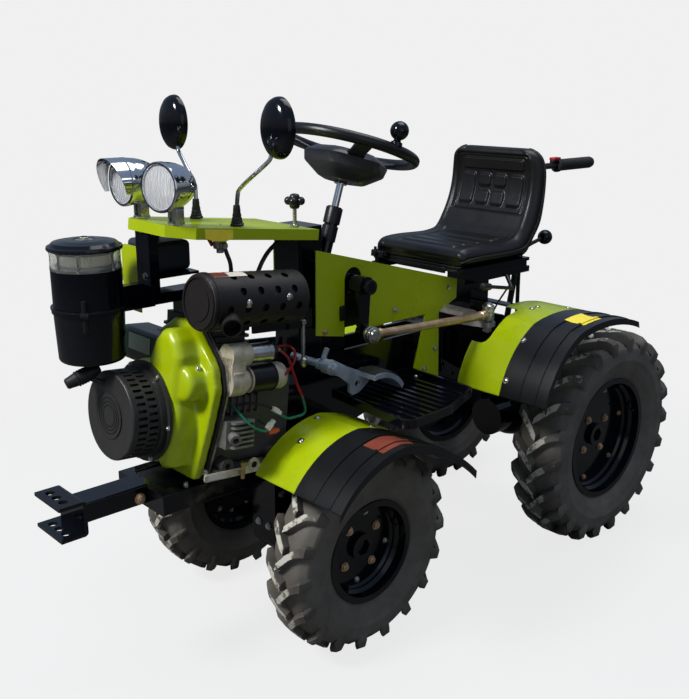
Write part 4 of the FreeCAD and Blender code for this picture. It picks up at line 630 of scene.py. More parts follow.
def labelOn(name, nodeName, xs, ys, material, body):
    # a blank vinyl label laid on a curved sheet
    rows = 13
    points = [dropOn(nodeName, x, ys[0] + (ys[1] - ys[0]) * row / (rows - 1))[0] + Vector((0, 0, 0.0008))
              for row in range(rows) for x in xs]
    points += [point - Vector((0, 0, 0.0007)) for point in points]
    return addPiece(name, [(points, sheetFaces(rows, len(xs)))], material, body=body)


# bolts and screws of both halves

def mirrored(spots):
    # the given spots and the same ones on the other side
    return spots + [(Vector((-spot.x, spot.y, spot.z)), Vector((-way.x, way.y, way.z)))
                    for spot, way in spots]


def dropped(nodeName, *places):
    # spots on the upper face of a node, under the given places
    return [dropOn(nodeName, x, y) for x, y in places]


yellowBolts = [(at(*spot), leftward, size) for *spot, size in (
    (35.4, -463, 449, 10.0), (35.4, -414, 455, 6.0), (81, -359, 1063, 5.0), (-52, -359, 1063, 5.0),
    (105.2, 24, 757, 6.0))]
zincBolts = [(at(105.2, y, z), leftward, size) for y, z, size in (
    (79, 805, 6.5), (264, 772, 6.5), (383, 590, 6.5), (424, 640, 6.0), (470, 800, 5.5))]
zincBolts += [(at(-20, -381.2, 928), (0, -1, 0), 6.5)]
zincBolts += [(onEngine(x, -345, 527.4), engineWay(0, 0, 1), 8.0) for x in (140, -140)]
coverBolts = [(a, -423.2, engineLean["z"] + b, 5.0)
              for a, b in (polar(107, turn) for turn in (56, -6, -66, -95, -150, 160, 118))]
coverBolts += [(130, -369, 762, 6.0), (103, -369, 494, 6.0)]
zincBolts += [(onEngine(*spot), engineWay(0, -1, 0), size) for *spot, size in coverBolts]
fastenerField("frontYellowBolts", yellowBolts, yellowZinc)
fastenerField("frontZincBolts", zincBolts, zincPlate)
boards = mirrored(dropped("footboard_left", (366, 34), (384, 84), (150, 302), (150, 56)))
boards += mirrored(dropped("front_fender_left", (210, -143), (222, 130), (172, -60), (272, 20)))
rearWings = mirrored(
    dropped("rear_fender_left", (240, 664), (240, 690), (292, 760))
    + dropped("rear_fender_flare_left", (320, 458), (317, 526)))
for name, spots, body in (("boardScrews", boards, "front"), ("rearWingScrews", rearWings, "rear")):
    fastenerField(name, [(spot, way, 6.0) for spot, way in spots], zincPlate, body, domeTree, 1.4, 0.55)
fastenerField("mufflerBolts", [(at(196, y, z), (1, -0.2, 0.1), 8.0) for y, z in ((-271, 890), (-163, 886))],
              zincPlate, tree=domeTree, washer=1.25, height=0.7)
gearboxBolts = [
    (at(46.4, y, z), leftward, 7.5) for y, z in ((-70, 342), (-60, 250), (10, 200), (60, 250), (62, 340))]
gearboxBolts += [(at(x, -90.4, 250), (0, -1, 0), 7.5) for x in (20, -20)]
fastenerField("gearboxBolts", gearboxBolts, zincPlate)
for side, sign in (("left", 1), ("right", -1)):
    nuts = [(onTyre("front_tyre_" + side, -3.7, 88, a), (-sign, 0, 0), 6.5)
            for a in (81, -10, -97, 172, -125, -60)]
    fastenerField("frontInnerNuts" + side.capitalize(), nuts, zincPlate, "front_wheel_" + side)
print("fasteners")


# engine front: dark screen behind the air slots, partly painted shade; moulded pull grip, alloy foot bar with
# its eye, a black disc of painted shade in the eye; belly plate

ahead, crank = engineWay(0, 1, 0), onEngine(0, engineLean["y"], engineLean["z"])
# satin black liner and disc inside the recoil cover: partly the dark fan there, partly painted shade, so the
# slots show dark instead of the green shroud behind
addPiece("recoilShadeScreen", [
    lathe([(86, 10), (89, 10), (89, 78), (86, 78), (86, 10)], crank, ahead, 72),
    lathe([(0, 70), (88, 70), (88, 74), (0, 74)], crank, ahead, 48)], satinBlack, 40)
gripStart, gripEnd = onEngine(-54, -577, 709), onEngine(-37, -508, 742)
gripProfile = [(0, 0), (9, 0), (12, 3), (12.5, 8), (14.5, 20), (16.5, 36), (16.5, 48), (14.5, 62), (11, 74),
               (8, 79), (0, 80)]
gripShapes = [lathe(gripProfile, gripStart, gripEnd - gripStart, 28)]
for k in range(4):
    r, z = 15 + k % 2, 24 + 6 * k
    rib = [(r, z), (17.2, z + 1.5), (17.2, z + 3.5), (r, z + 5), (r, z)]
    gripShapes.append(lathe(rib, gripStart, gripEnd - gripStart, 28))
addPiece("pullGrip", gripShapes, gripRubber)
footBar = [(-356, 511), (-190, 511), (-190, 522), (-204, 528), (-208, 540), (-222, 547), (-236, 540),
           (-240, 528), (-356, 528)]
for side, label in ((1, "Left"), (-1, "Right")):
    bar = plate(roundOutline(footBar, 5), *sorted((side * 148.2, side * 152.8)), "x", 0.8, onEngine)
    eye = lathe([(8, 0), (12, 0), (12, 2.2), (8, 2.2), (8, 0)], onEngine(side * 152, -222, 530),
                (side, 0, 0), 24)
    addPiece("engineFoot" + label, [bar, eye], creamAlloy)
    # black disc filling the eye's hole: painted shade where the hole would show through
    eye = lathe([(0, 0), (8, 0), (8, 1.2), (0, 1.2)], onEngine(side * 152.2, -222, 530), (side, 0, 0), 24)
    addPiece("engineFootEyeShade" + label, [eye], satinBlack)
addPiece("footLabel", [
    plate([(-346, 513.5), (-300, 513.5), (-300, 526), (-346, 526)], 152.6, 153.4, "x", 0.2, onEngine)],
    paleLabel)
addPiece("bafflePlate", [box((-100, -401, 764), (-12, -399.5, 801), 0.4, onEngine)], agedPlate)
addPiece("bellyPlate", [box((-60.5, -438, 462), (60.5, -240, 466), 0.8)], satinBlack)


def softened(name, nodeName, voxel, rounds, material):
    # the node's shape again with its folds flowing into each other, as pressed and cast sheet does
    source = nodes[nodeName]
    soft = bpy.data.objects.new("softCarrier", source.data.copy())
    soft.matrix_world = source.matrix_world
    bpy.context.scene.collection.objects.link(soft)
    remesh = soft.modifiers.new("voxels", "REMESH")
    remesh.mode, remesh.voxel_size = "VOXEL", voxel
    relax = soft.modifiers.new("relax", "SMOOTH")
    relax.factor, relax.iterations = 0.5, rounds
    mesh = bpy.data.meshes.new_from_object(soft.evaluated_get(bpy.context.evaluated_depsgraph_get()))
    mesh.transform(source.matrix_world)
    bpy.data.objects.remove(soft)
    return finishPiece(name, mesh, material, "front", 70, [nodeName])


shroud = softened("shroudShell", "cooling_shroud", 0.0032, 26, greenEnamel)
print("shroud", len(shroud.data.polygons), "faces")


# blank labels

labelOn("frontFlareLabel", "front_fender_flare_left", (357, 375, 394.4, 395, 403.2, 403.8, 419), (-91, 5),
        redLabel, "front")
labelOn("rearFlareLabel", "rear_fender_flare_left", (369, 388, 411.9, 412.5, 421, 421.6, 430), (628, 704),
        yellowLabel, "rear")


consolePlate = {"rearY": -6, "top": 1006, "slope": 6.3, "side": 117.8}


def plateLevel(y, low):
    # height on the sloping console plate, measured down from its top
    return consolePlate["top"] + (consolePlate["rearY"] - y) * tan(radians(consolePlate["slope"])) - low


label = [(y, plateLevel(y, low))
         for y, low in ((-320, 21), (-300, 27), (-268, 27), (-249, 21), (-249, 3), (-320, 3))]
addPiece("plateLabel", [plate(label, consolePlate["side"], consolePlate["side"] + 1.1, "x", 0.2)],
         yellowLabel, 38)


drum = {"x": 140, "z": 907, "radius": 60}


def drumPatch(y0, y1, first, last, radius=drum["radius"], thick=0.9):
    # a strip laid on the silencer drum, from one angle to another
    points = []
    for r in (radius, radius + thick):
        for y in (y0, y1):
            for step in range(9):
                a, b = polar(r, first + (last - first) * step / 8)
                points.append(onEngine(drum["x"] + a, y, drum["z"] + b))
    return points, sheetFaces(2, 9)


addPiece("mufflerLabel", [drumPatch(-368, -278, 66, 86)], paleLabel, 38)
addPiece("mufflerLabelMark", [drumPatch(-366, -326, 66.8, 85.2, drum["radius"] + 0.7)], redLabel, 38)
print("labels")


# starter motor: cream drive housing, bright solenoid above, black motor below, cream end cap

starter = {"x": 160.0, "y": -321.7, "low": 735.0}


def starterAt(x, y, z):
    return onEngine(starter["x"] + x, starter["y"] + y, starter["low"] + z)


starterHousing = [
    lathe([(0, 0), (33, 0), (33, 38), (31, 44), (27, 46), (26, 52), (22, 58), (0, 58)],
          starterAt(0, 0, 0), ahead),
    lathe([(0, 0), (26, 0), (26, 50), (23, 56), (0, 56)], starterAt(4, 0, 58), ahead),
    box((-22, 0, 0), (26, 38, 58), 3, starterAt),
    lathe([(24, 57.5), (29, 57.5), (30, 60), (30, 68), (0, 68)], starterAt(0, 0, 0), ahead)]
starterHousing += [
    box((x, 2, z), (x + 4, 36, z + 6), 1.5, starterAt) for x, z in ((-30, -20), (-34, -4), (28, 20))]
addPiece("starterHousing", starterHousing, creamAlloy, replaced=["starter_motor"])
addPiece("starterSolenoid", [
    lathe([(0, 50), (22.5, 50), (22.5, 54), (21.6, 55), (21.6, 108), (22.5, 109), (22.5, 113), (20, 114),
           (0, 114)], starterAt(4, 0, 58), ahead)], zincPlate)
addPiece("starterMotor", [
    lathe([(0, 60), (31, 60), (31, 119), (32.5, 120), (32.5, 124), (31, 125), (0, 125)],
          starterAt(0, 0, 0), ahead),
    lathe([(0, 114), (22, 114), (21, 117), (17, 128), (0, 128)], starterAt(4, 0, 58), ahead),
    box((-42.1, 60, -9), (0, 84, 9), 2, starterAt)], satinBlack)
addPiece("starterEnd", [
    lathe([(0, 124), (30, 124), (30, 148), (28, 153), (22, 156), (12, 156), (11, 154), (0, 154)],
          starterAt(0, 0, 0), ahead)], creamAlloy)
terminals = [
    lathe([(0, foot), (radius, foot), (radius, top), (0, top)], starterAt(4 + x, 0, 62), ahead, steps)
    for foot, radius, top, steps in ((127, 4, 138, 12), (128, 6.5, 132, 6)) for x in (-9, 9)]
addPiece("starterTerminals", terminals, brassFinish)
throughBolts = [
    (starterAt(a, 156.2, b) - ahead * 0.004, ahead, 3.5) for a, b in (polar(28, 35), polar(28, 215))]
fastenerField("starterThroughBolts", throughBolts, zincPlate)
print("starter")


# hoses and wires, on the same lines as the plain ones

wires = {
    "starterLead": (3.0, redWire, (
        (155, -176, 765), (157, -150, 771), (188, -138, 764), (198, -150, 728), (184, -176, 704))),
    "redSleeve": (3.0, redWire, (
        (173, -176, 765), (186, -160, 756), (192.5, -150, 714), (192.5, -135, 672), (190.5, -122, 650))),
    "greenLead": (3.0, greenWire, (
        (190.5, -122, 650), (190, -114, 628), (187.5, -110, 604), (186, -140, 603), (186, -165, 604),
        (186, -190, 625))),
    "blackLead": (2.9, blackWire, ((186, -190, 625), (186, -206, 642), (172, -245, 660), (145, -272, 652))),
    "lowerLead": (2.5, greenWire, (
        (145, -292, 662), (180, -292, 648), (200, -268, 610), (198, -225, 592), (160, -196, 588),
        (116, -190, 588))),
    "fuelHose": (5.0, blackWire, ((34, -224, 1030), (40, -220, 985), (60, -204, 925), (34, -216, 838))),
    "breatherHose": (5.0, blackWire, (
        (40, -4, 985), (50, -58, 984), (70, -128, 958), (62, -160, 880), (28, -204, 836))),
    "lampLead": (2.5, blackWire, ((60, -350, 1094), (52, -346, 1070), (45, -340, 1056), (45, -336, 1038)))}
for wire, (radius, finish, route) in wires.items():
    addPiece(wire, [cable(route, radius)], finish, 60,
             replaced=["hoses_and_wires"] if wire == "starterLead" else ())
addPiece("whiteConnectors", [
    lathe([(0, 0), (6, 0), (7.5, 1.5), (7.5, 16), (6, 17), (6, 26), (0, 26)], at(*spot), Vector(way), 4)
    for spot, way in (((188, -205, 640), (0, 0.62, -0.5)), ((192, -226, 597), (0, 0.7, 0.6)))], nylonWhite,
    25)
addPiece("orangeConnector", [
    lathe([(0, 0), (6, 0), (7, 1.5), (7, 22), (5.5, 23), (5.5, 30), (0, 30)], at(190, -222, 589),
          Vector((0, 1, -0.06)), 4)], orangeNylon, 25)
clips = [lathe([(5, 0), (8, 0), (8, 9), (5, 9), (5, 0)], at(*spot), Vector(way), 20) for spot, way in (
    ((38, -221, 1000), (0.1, 0, -1)), ((35, -215, 846), upward), ((44, -28, 984), (0.1, -1, 0)))]
addPiece("hoseClips", clips, zincPlate)
print("wires")


# steering wheel: moulded ring, faceted hub, spokes, spinner knob and the bright shaft

wheel = {"lean": 18.0, "column": (0, 118, 930), "up": 256, "ring": 164, "tube": 13.5, "knobTurn": -3.0}
leanAngle = radians(wheel["lean"])
columnWay = Vector((0, sin(leanAngle), cos(leanAngle)))
wheelCentre = at(*wheel["column"]) + columnWay * (wheel["up"] / 1000)


def onWheel(x, y, z):
    return wheelCentre + (Vector((x, y * cos(leanAngle), -y * sin(leanAngle))) + columnWay * z) / 1000


def ringShape(radius, tube, round=96, section=20):
    # a full ring with a shallow parting seam along its outside
    points = []
    for i in range(round):
        turn = tau * i / round
        for j in range(section):
            bend = tau * j / section
            r = radius + tube * cos(bend) - (0.5 if j == 0 else 0)
            points.append(onWheel(r * cos(turn), r * sin(turn), tube * sin(bend)))
    return points, [[index % (round * section) for index in face] for face in gridFaces(round + 1, section)]


def facetedHub():
    # six-sided hub with chamfered corners, seen mostly from below as a faceted bowl
    levels = ((76, -13), (82, -14), (103, -27), (106, -31), (101, -52), (98, -56), (60, -82), (54, -84),
              (38, -85))
    points = [onWheel(*polar(radius, 60 * corner + spread), z) for radius, z in levels for corner in range(6)
              for spread in (-7, 7)]
    last = 12 * (len(levels) - 1)
    return points, gridFaces(len(levels), 12) + [list(reversed(range(12))), [last + k for k in range(12)]]


spokes = []
spokeOutline = [(-24, -4), (-20, -7), (20, -7), (24, -4), (24, 1), (20, 4), (-20, 4), (-24, 1)]
for degrees in (90, 210, 330):
    start, end = Vector((*polar(62, degrees), -30)), Vector((*polar(162, degrees), -1))
    side = Vector((*polar(1, degrees + 90), 0))
    way = (end - start).normalized()
    lift = way.cross(side) * (-1 if way.cross(side).z < 0 else 1)
    levels = ((start, 1.15), (start + way * 45, 0.82), (end, 0.9))
    points = [onWheel(*(spot + side * a * wide + lift * b)) for spot, wide in levels for a, b in spokeOutline]
    spokes.append((points, gridFaces(3, 8) + [list(range(8)), [16 + k for k in reversed(range(8))]]))
knobFoot = onWheel(*polar(wheel["ring"], wheel["knobTurn"]), 0)
knobProfile = [(0, 8), (14, 8), (14, 17), (10, 19), (8, 23)]
knobProfile += [(polar(22, a)[1], 44.5 - polar(22, a)[0]) for a in range(24, 180, 12)]
addPiece("steeringRing", [ringShape(wheel["ring"], wheel["tube"])], blackMoulding, 50, body="steering_wheel",
         replaced=["steering_wheel"])
addPiece("steeringHub", [facetedHub()] + spokes, hubMoulding, 25, body="steering_wheel")
addPiece("steeringHubRecess", [
    lathe([(31, -84.5), (32, -85.4), (25, -85.4), (23, -84), (0, -84)], wheelCentre, columnWay, 40),
    lathe([(0, -13), (34, -13), (32, -11), (0, -10.6)], wheelCentre, columnWay, 40)], satinBlack, 38,
    body="steering_wheel")
addPiece("spinnerKnob", [lathe(knobProfile + [(0, 66.5)], knobFoot, columnWay, 32)], blackEnamel, 60,
         body="steering_wheel")
addPiece("steeringShaft", [
    lathe([(0, -204), (9, -204), (9, -80), (0, -80)], wheelCentre, columnWay, 28),
    lathe([(9, -92), (16, -92), (16, -84), (13, -80), (9, -80)], wheelCentre, columnWay, 28)], chromePlate,
    38, body="steering_wheel")
addPiece("columnSleeve", [
    lathe([(17.3, 66), (21, 66), (21, 103), (20, 106), (10, 107.5), (10, 100), (17.3, 66)],
          at(*wheel["column"]), columnWay, 30),
    lathe([(17.3, 22), (20, 22), (20, 60), (17.3, 60), (17.3, 22)], at(*wheel["column"]), columnWay, 30)],
    satinBlack)
print("steering wheel")


# steering linkage: stacked rings at the ball joints, the knurled pitman nut, the black sheet of painted shade
# behind the slot

frontJoint = [(0, -11.5), (18, -11.5), (20, -10), (20, -5), (18.5, -4), (18.5, -2), (20, -1), (20, 5),
              (18, 6), (18, 8), (19.5, 9), (19.5, 11), (15, 12), (14, 15), (9, 16.5), (0, 16.5)]
rearJoint = [
    (0, -13), (15, -13), (17, -11.5), (17, -5), (15.5, -4), (15.5, -2), (17, -1), (17, 6), (15.5, 7),
    (15.5, 9), (17, 10), (17, 15), (14, 17), (14, 21), (16, 22), (16, 27), (12, 29), (8, 35), (0, 35)]
linkFront, linkRear = at(172, 115, 747), at(172, 560, 722)
linkWay = (linkRear - linkFront).normalized()
addPiece("linkBallFront", [lathe(frontJoint, linkFront, leftward, 40)], zincPlate, body="drag_link",
         replaced=["drag_link"])
addPiece("linkBallRear", [lathe(rearJoint, linkRear, upward, 40)], zincPlate, body="drag_link")
linkSpan = (linkRear - linkFront).length * 1000
addPiece("linkBar", [
    lathe([(0, 12), (12.5, 12), (13.5, 14), (13.5, 30), (10.5, 32), (10.5, linkSpan - 34),
           (13.5, linkSpan - 32), (13.5, linkSpan - 14), (12, linkSpan - 13), (0, linkSpan - 13)], linkFront,
          linkWay, 28)], yellowZinc, body="drag_link")
knurl = [polar(17.2 + 0.9 * (k % 2), 7.5 * k) for k in range(48)]
addPiece("pitmanNut", [
    plate([(115 + a, 862 + b) for a, b in knurl], 165.5, 169.9, "x", 0),
    lathe([(11.5, 0), (14, 0), (14, 3), (8, 4.5), (0, 4.5)], at(165, 115, 862), leftward, 24)], satinBlack,
    20, body="pitman_arm")
# black sheet behind the panel's arch slot: painted shade of the machine's inside, seen through the slot
addPiece("archShadeBacking", [plate([(50, 742), (180, 742), (180, 905), (50, 915)], 64, 66)], satinBlack, 38)
addPiece("panelStops", [
    box((105, 146, 776), (113, 160, 812), 2), box((105, 70, 776), (113, 84, 812), 2)], satinBlack, 38)
print("steering linkage")


# levers: choke rod with its ball, star knob, hand lever with ribbed grip and red collar, pedal ribs

chokeBall = [(0, -13), (7, -13), (10, -7), (11, 0), (10, 6), (6, 10), (0, 11)]
choke = [rod(at(x0, -62, z0), at(x1, -62, z1), radius) for x0, z0, x1, z1, radius in (
    (97, 800, 131, 800, 6), (125, 806, 125, 712, 4.5), (108, 704, 125, 704, 4))]
addPiece("chokeRod", choke[:2] + [lathe(chokeBall, at(125, -62, 706), upward, 24)] + choke[2:], zincPlate, 35)
starKnobFoot, knobTop = at(83, -49, 1012), at(83, -49, 1071)
ballProfile = [polar(9.6, a - 90) for a in range(0, 181, 15)]
lobes = [lathe(ballProfile, knobTop + Vector((*polar(0.0145, a), 0)), upward, 20)
         for a in (35, 125, 215, 305)]
addPiece("starKnob", lobes + [
    lathe([(0, -17), (9, -17), (12, -12), (12, 8), (10, 14), (5, 16), (0, 16)], knobTop, upward, 24)],
    blackMoulding, 50, replaced=["knob_lever"])
addPiece("starKnobStem", [
    rod(starKnobFoot, at(83, -49, 1056), 4.5),
    lathe([(0, 0), (10, 0), (10, 5), (6, 7), (0, 7)], starKnobFoot, upward, 6)], zincPlate)
addPiece("handLever", [
    rod(at(45.3, 790, 620), at(68, 790, 620), 18),
    cable(((60, 790, 620), (60, 850, 900), (60, 850, 1060), (60, 862, 1089), (60, 940, 1089),
           (60, 1020, 1089)), 9)], satinBlack, 40, body="rear", replaced=["hand_lever"])
ribs = [(0, 0), (17, 0), (17.4, 2)]
for k in range(15):
    ribs += [(17.4, 14 + 10 * k), (15.6, 15.5 + 10 * k), (15.6, 17.5 + 10 * k), (17.4, 19 + 10 * k)]
addPiece("leverGrip", [
    lathe(ribs + [(17.4, 168), (15, 177), (0, 179)], at(60, 996, 1089), (0, 1, 0), 32),
    lathe([(0, -8), (18, -8), (20, -6), (20, 2), (18, 4), (0, 4)], at(60, 998, 1089), (0, 1, 0), 32)],
    gripRubber, body="rear")
addPiece("leverButton", [box((50, 968, 1104), (70, 1002, 1113), 3)], redWire, body="rear")
addPiece("leverButtonSeat", [box((54, 966, 1094), (66, 1000, 1106), 2)], satinBlack, body="rear")
addPiece("ballLever", [
    rod(at(45.3, 850, 600), at(70, 850, 600), 15),
    cable(((59, 850, 600), (59, 842, 760), (59, 842, 850), (59, 900, 868), (59, 960, 877)), 6)],
    satinBlack, 40, body="rear")
addPiece("ballLeverKnob", [
    lathe([(0, -22)] + [polar(22, a - 90) for a in range(15, 180, 15)] + [(0, 22)], at(60, 962, 878),
          (0, 108, 278), 32)], blackEnamel, 60, body="rear")
pedalArc = ((66, 671.5), (80, 672.5), (94, 672), (108, 669), (122, 663), (136, 654), (148, 642))
padLine = [(59, 672.2), (70, 673.4), (85, 674), (100, 673.2), (114, 670), (128, 664.5), (142, 653.5),
           (155, 636)]
padTop = [(y, z - 1.2) for y, z in padLine] + [(y - 1, z + 1.4) for y, z in reversed(padLine)]
addPiece("pedalRibs", [plate(padTop, 180.5, 241.5, "x", 0)]
         + [rod(at(181, y, z + 0.8), at(241, y, z + 0.8), 3.0, 10) for y, z in pedalArc], gripRubber, 40)
addPiece("pedalPivot", [
    lathe([(0, 0), (15, 0), (15, 2), (13, 2.5), (13, 10), (9, 11), (9, 16), (0, 16)], at(198.2, -36, 700),
          leftward, 6),
    lathe([(9.2, 0), (13, 0), (13, 8), (9.2, 8), (9.2, 0)], at(150, -36, 700), leftward, 24),
    lathe([(0, 0), (6, 0), (6, 26), (0, 26)], at(166, -36, 716), (0.2, 0.3, 1), 6)], blueZinc)
print("levers")


# air cleaner: latches on the clear bowl and a bright wing nut; fuel tap under the plate; mirrors and lamps

cleaner = {"x": -50, "y": -505, "bowl": 958}
bowlFoot = at(cleaner["x"], cleaner["y"], cleaner["bowl"] + 0.4)
addPiece("cleanerBowl", [
    lathe([(0, 0), (73, 0), (73.6, 1), (72.4, 12), (72.4, 30), (73.6, 39), (70, 39.4), (69, 30), (69, 5),
           (0, 4)], bowlFoot, upward, 64)], bowlPlastic, replaced=["air_cleaner_bowl"])
pleats = [polar(57 if k % 2 else 49, 3.75 * k) for k in range(96)]
pleats = [(cleaner["x"] + a, cleaner["y"] + b) for a, b in pleats]
addPiece("filterPleats", [plate(pleats, cleaner["bowl"] + 9, cleaner["bowl"] + 34, "z", 0)], paleLabel, 20)
addPiece("filterRings", [
    lathe([(0, z), (61, z), (62, z + 1), (62, z + 5), (61, z + 6), (0, z + 6)], bowlFoot, upward, 48)
    for z in (4, 33)], satinBlack)
latchProfile = [(0, 0), (4.5, 0), (4.5, 2), (2.6, 3), (2.6, 34), (4.5, 35), (4.5, 38), (0, 38)]
latches = [lathe(latchProfile, at(cleaner["x"] + a, cleaner["y"] + b, cleaner["bowl"] + 1), upward, 10)
           for a, b in (polar(72, degrees) for degrees in (-75, -40, 20, 118, 200))]
addPiece("bowlLatches", latches, zincPlate)
clampWay = polar(74, -35)
clampSpot = (cleaner["x"] + clampWay[0], cleaner["y"] + clampWay[1])
addPiece("cleanerClamp", [
    rod(at(*clampSpot, 838), at(*clampSpot, 904), 6, 12),
    lathe([(0, -8), (9, -8), (9, 8), (0, 8)], at(*clampSpot, 872), Vector((clampWay[1], -clampWay[0], 0)), 12),
    lathe([(76.5, 0), (78.5, 0), (78.5, 4), (76.5, 4), (76.5, 0)], at(cleaner["x"], cleaner["y"], 876),
          upward, 64)], satinBlack)
addPiece("cleanerNut", [
    lathe([(0, 15), (20, 15), (20, 19), (12, 20), (0, 20)], at(cleaner["x"], cleaner["y"], 998.6), upward, 32),
    lathe([(0, 19), (10, 19), (10, 23), (8, 25), (0, 25)], at(cleaner["x"], cleaner["y"], 998.6), upward, 6)],
    zincPlate, 25)
addPiece("fuelTap", [
    lathe([(0, 0), (8, 0), (8, 8), (14, 10), (15, 14), (15, 28), (12, 31), (9, 32), (9, 44), (0, 44)],
          at(36, -225, 968), upward, 24),
    lathe([(0, 0), (9, 0), (9, 14), (6, 16), (6, 22), (0, 22)], at(44, -225, 986), (1, -0.3, 0), 20)],
    castAlloy)
addPiece("fuelTapLever", [rod(at(30, -240, 984), at(22, -246, 1002), 4.5, 12)], redWire)
mirror = {"x": 191, "y": -188, "z": 1237, "halfWide": 48, "halfHigh": 62, "glassY": -174.6, "footX": 77,
          "footY": -207}
lamp = {"x": 67, "y": -351, "z": 1125, "leftTurn": 12, "stemY": -355, "stemTop": 1092}
for side, label in ((1, "Left"), (-1, "Right")):
    head = at(side * mirror["x"], mirror["y"], mirror["z"])
    levels = ((0.97, 13.6), (1.0, 12), (1.0, 8), (0.985, 3), (0.93, -4), (0.82, -9.5), (0.66, -13),
              (0.46, -15.6), (0.24, -17), (0.08, -17.4))
    ring = 56
    circle = [polar(1, 360 * step / ring) for step in range(ring)]
    points = [head + Vector((share * mirror["halfWide"] * a, y, share * mirror["halfHigh"] * b)) / 1000
              for share, y in levels for a, b in circle]
    last = ring * (len(levels) - 1)
    faces = gridFaces(len(levels), ring) + [
        list(range(ring)), [last + step for step in reversed(range(ring))]]
    addPiece("mirrorShell" + label, [(points, faces)], blackEnamel, 40, replaced=["mirror_" + label.lower()])
    oval = [(side * mirror["x"] + (mirror["halfWide"] - 4) * a, mirror["z"] + (mirror["halfHigh"] - 5) * b)
            for a, b in (polar(1, 7.5 * k) for k in range(48))]
    glass = mirror["glassY"]
    addPiece("mirrorGlass" + label, [plate(oval, glass, glass + 1.2, "y", 0.2)], mirrorSilver, 38)
    foot, reach = plateLevel(-222, -0.3), mirror["z"]
    stalk = [(side * x, y, z) for x, y, z in (
        (mirror["footX"], mirror["footY"], foot + 30), (78, -205, foot + 66), (84, -204, foot + 80),
        (164, -188, reach - 69), (174, -186, reach - 57), (181, -186, reach - 17))]
    addPiece("mirrorStalk" + label, [cable(stalk, 4.8, steps=8)], chromePlate, 50)
    cone = [(0, 0), (15, 0), (15, 4), (12.5, 6), (13, 8), (11, 12), (11.5, 14), (9.5, 20), (10, 22), (8, 30),
            (8.4, 32), (7, 44), (0, 44)]
    addPiece("mirrorBoot" + label,
             [lathe(cone, at(side * mirror["footX"], mirror["footY"], foot), upward, 24)], gripRubber)
    lampWay = Vector((*polar(1, -90 + (lamp["leftTurn"] if side > 0 else 0)), 0))
    lampMid = at(side * lamp["x"], lamp["y"], lamp["z"])
    shell = [(0, -44)] + [(49.5 * cos(radians(a)), 36 - 80 * sin(radians(a))) for a in range(84, 0, -7)]
    shell += [(50, 36), (51, 40), (51, 49), (49.5, 51), (46, 51), (45, 49), (45, 36)]
    shell += [(45 * sqrt(share), 34 * share) for share in (1, 0.8, 0.6, 0.42, 0.26, 0.13, 0.04)] + [(0, -1)]
    addPiece("lampShell" + label, [lathe(shell, lampMid, lampWay, 64)], chromePlate,
             replaced=["headlight_" + label.lower()])
    lens = [(0, 53), (20, 52), (36, 49.5), (45, 46), (45, 43.5), (30, 48), (0, 50.5)]
    # the lens is in the milky glass, whose white share is painted glare of the reflector
    addPiece("lampLens" + label, [lathe(lens, lampMid, lampWay, 48)], lampGlassPaintedGlare, 40,
             replaced=["headlight_lens_" + label.lower()])
    bulb = [lathe([(0, 2), (6, 2), (6, 14), (8, 18), (8.5, 24), (6, 30), (0, 32)], lampMid, lampWay, 20)]
    bulb += [lathe([(24, z), (25, z + 1), (24, z + 2), (24, z)], lampMid, lampWay, 40) for z in (33, 38)]
    addPiece("lampBulb" + label, bulb, nylonWhite, 40)
    stemX, stemY, stemFoot = side * lamp["x"], lamp["stemY"], plateLevel(-373, -0.3)
    stem = [rod(at(stemX, stemY, stemFoot), at(stemX, stemY, lamp["stemTop"]), 9),
            lathe([(0, 0), (18, 0), (18, 4), (14, 6), (0, 6)], at(stemX, stemY, stemFoot), upward, 28)]
    stem += [box((stemX + x - 2, stemY - 10, stemFoot + 4), (stemX + x + 2, stemY + 10, 1089), 1)
             for x in (-14, 14)]
    stem += [box((stemX - 16, stemY - 11, 1078), (stemX + 16, stemY + 11, 1083), 1.5)]
    addPiece("lampStem" + label, stem, zincPlate)
points = []
for radius in (51, 49):
    for row in range(7):
        for degrees in range(-25, 217, 11):
            a, b = polar(radius, degrees)
            reach = row / 6 * 37 * max(0.5 + 0.5 * b / radius, 0.2)
            points.append(at(a - lamp["x"], -404 - reach, lamp["z"] + b))
addPiece("lampVisor", [(points, sheetFaces(7, 22))], chromePlate, 40)
# black rings a little proud of the cover: painted shade in the medallion's grooves
grooveShadeRings = [lathe([(r, -1.8), (r + 2, -2.4), (r + 3, -1.8), (r, -1.8)], crank, ahead, 64)
           for r in (22, 30, 38)]
addPiece("medallionGrooveShade", grooveShadeRings, satinBlack, 60)
addPiece("adjusterBolt", [
    rod(onEngine(165, -262, 508), onEngine(165, -262, 544), 5, 14),
    lathe([(0, 0), (9, 0), (9, 7), (0, 7)], onEngine(165, -262, 540), engineWay(0, 0, 1), 6),
    rod(onEngine(152, -262, 520), onEngine(168, -262, 520), 4, 12)], brassFinish, 25)
print("small engine fittings")


# seat: a bucket of embossed vinyl over foam, sculpted row by row along its side line

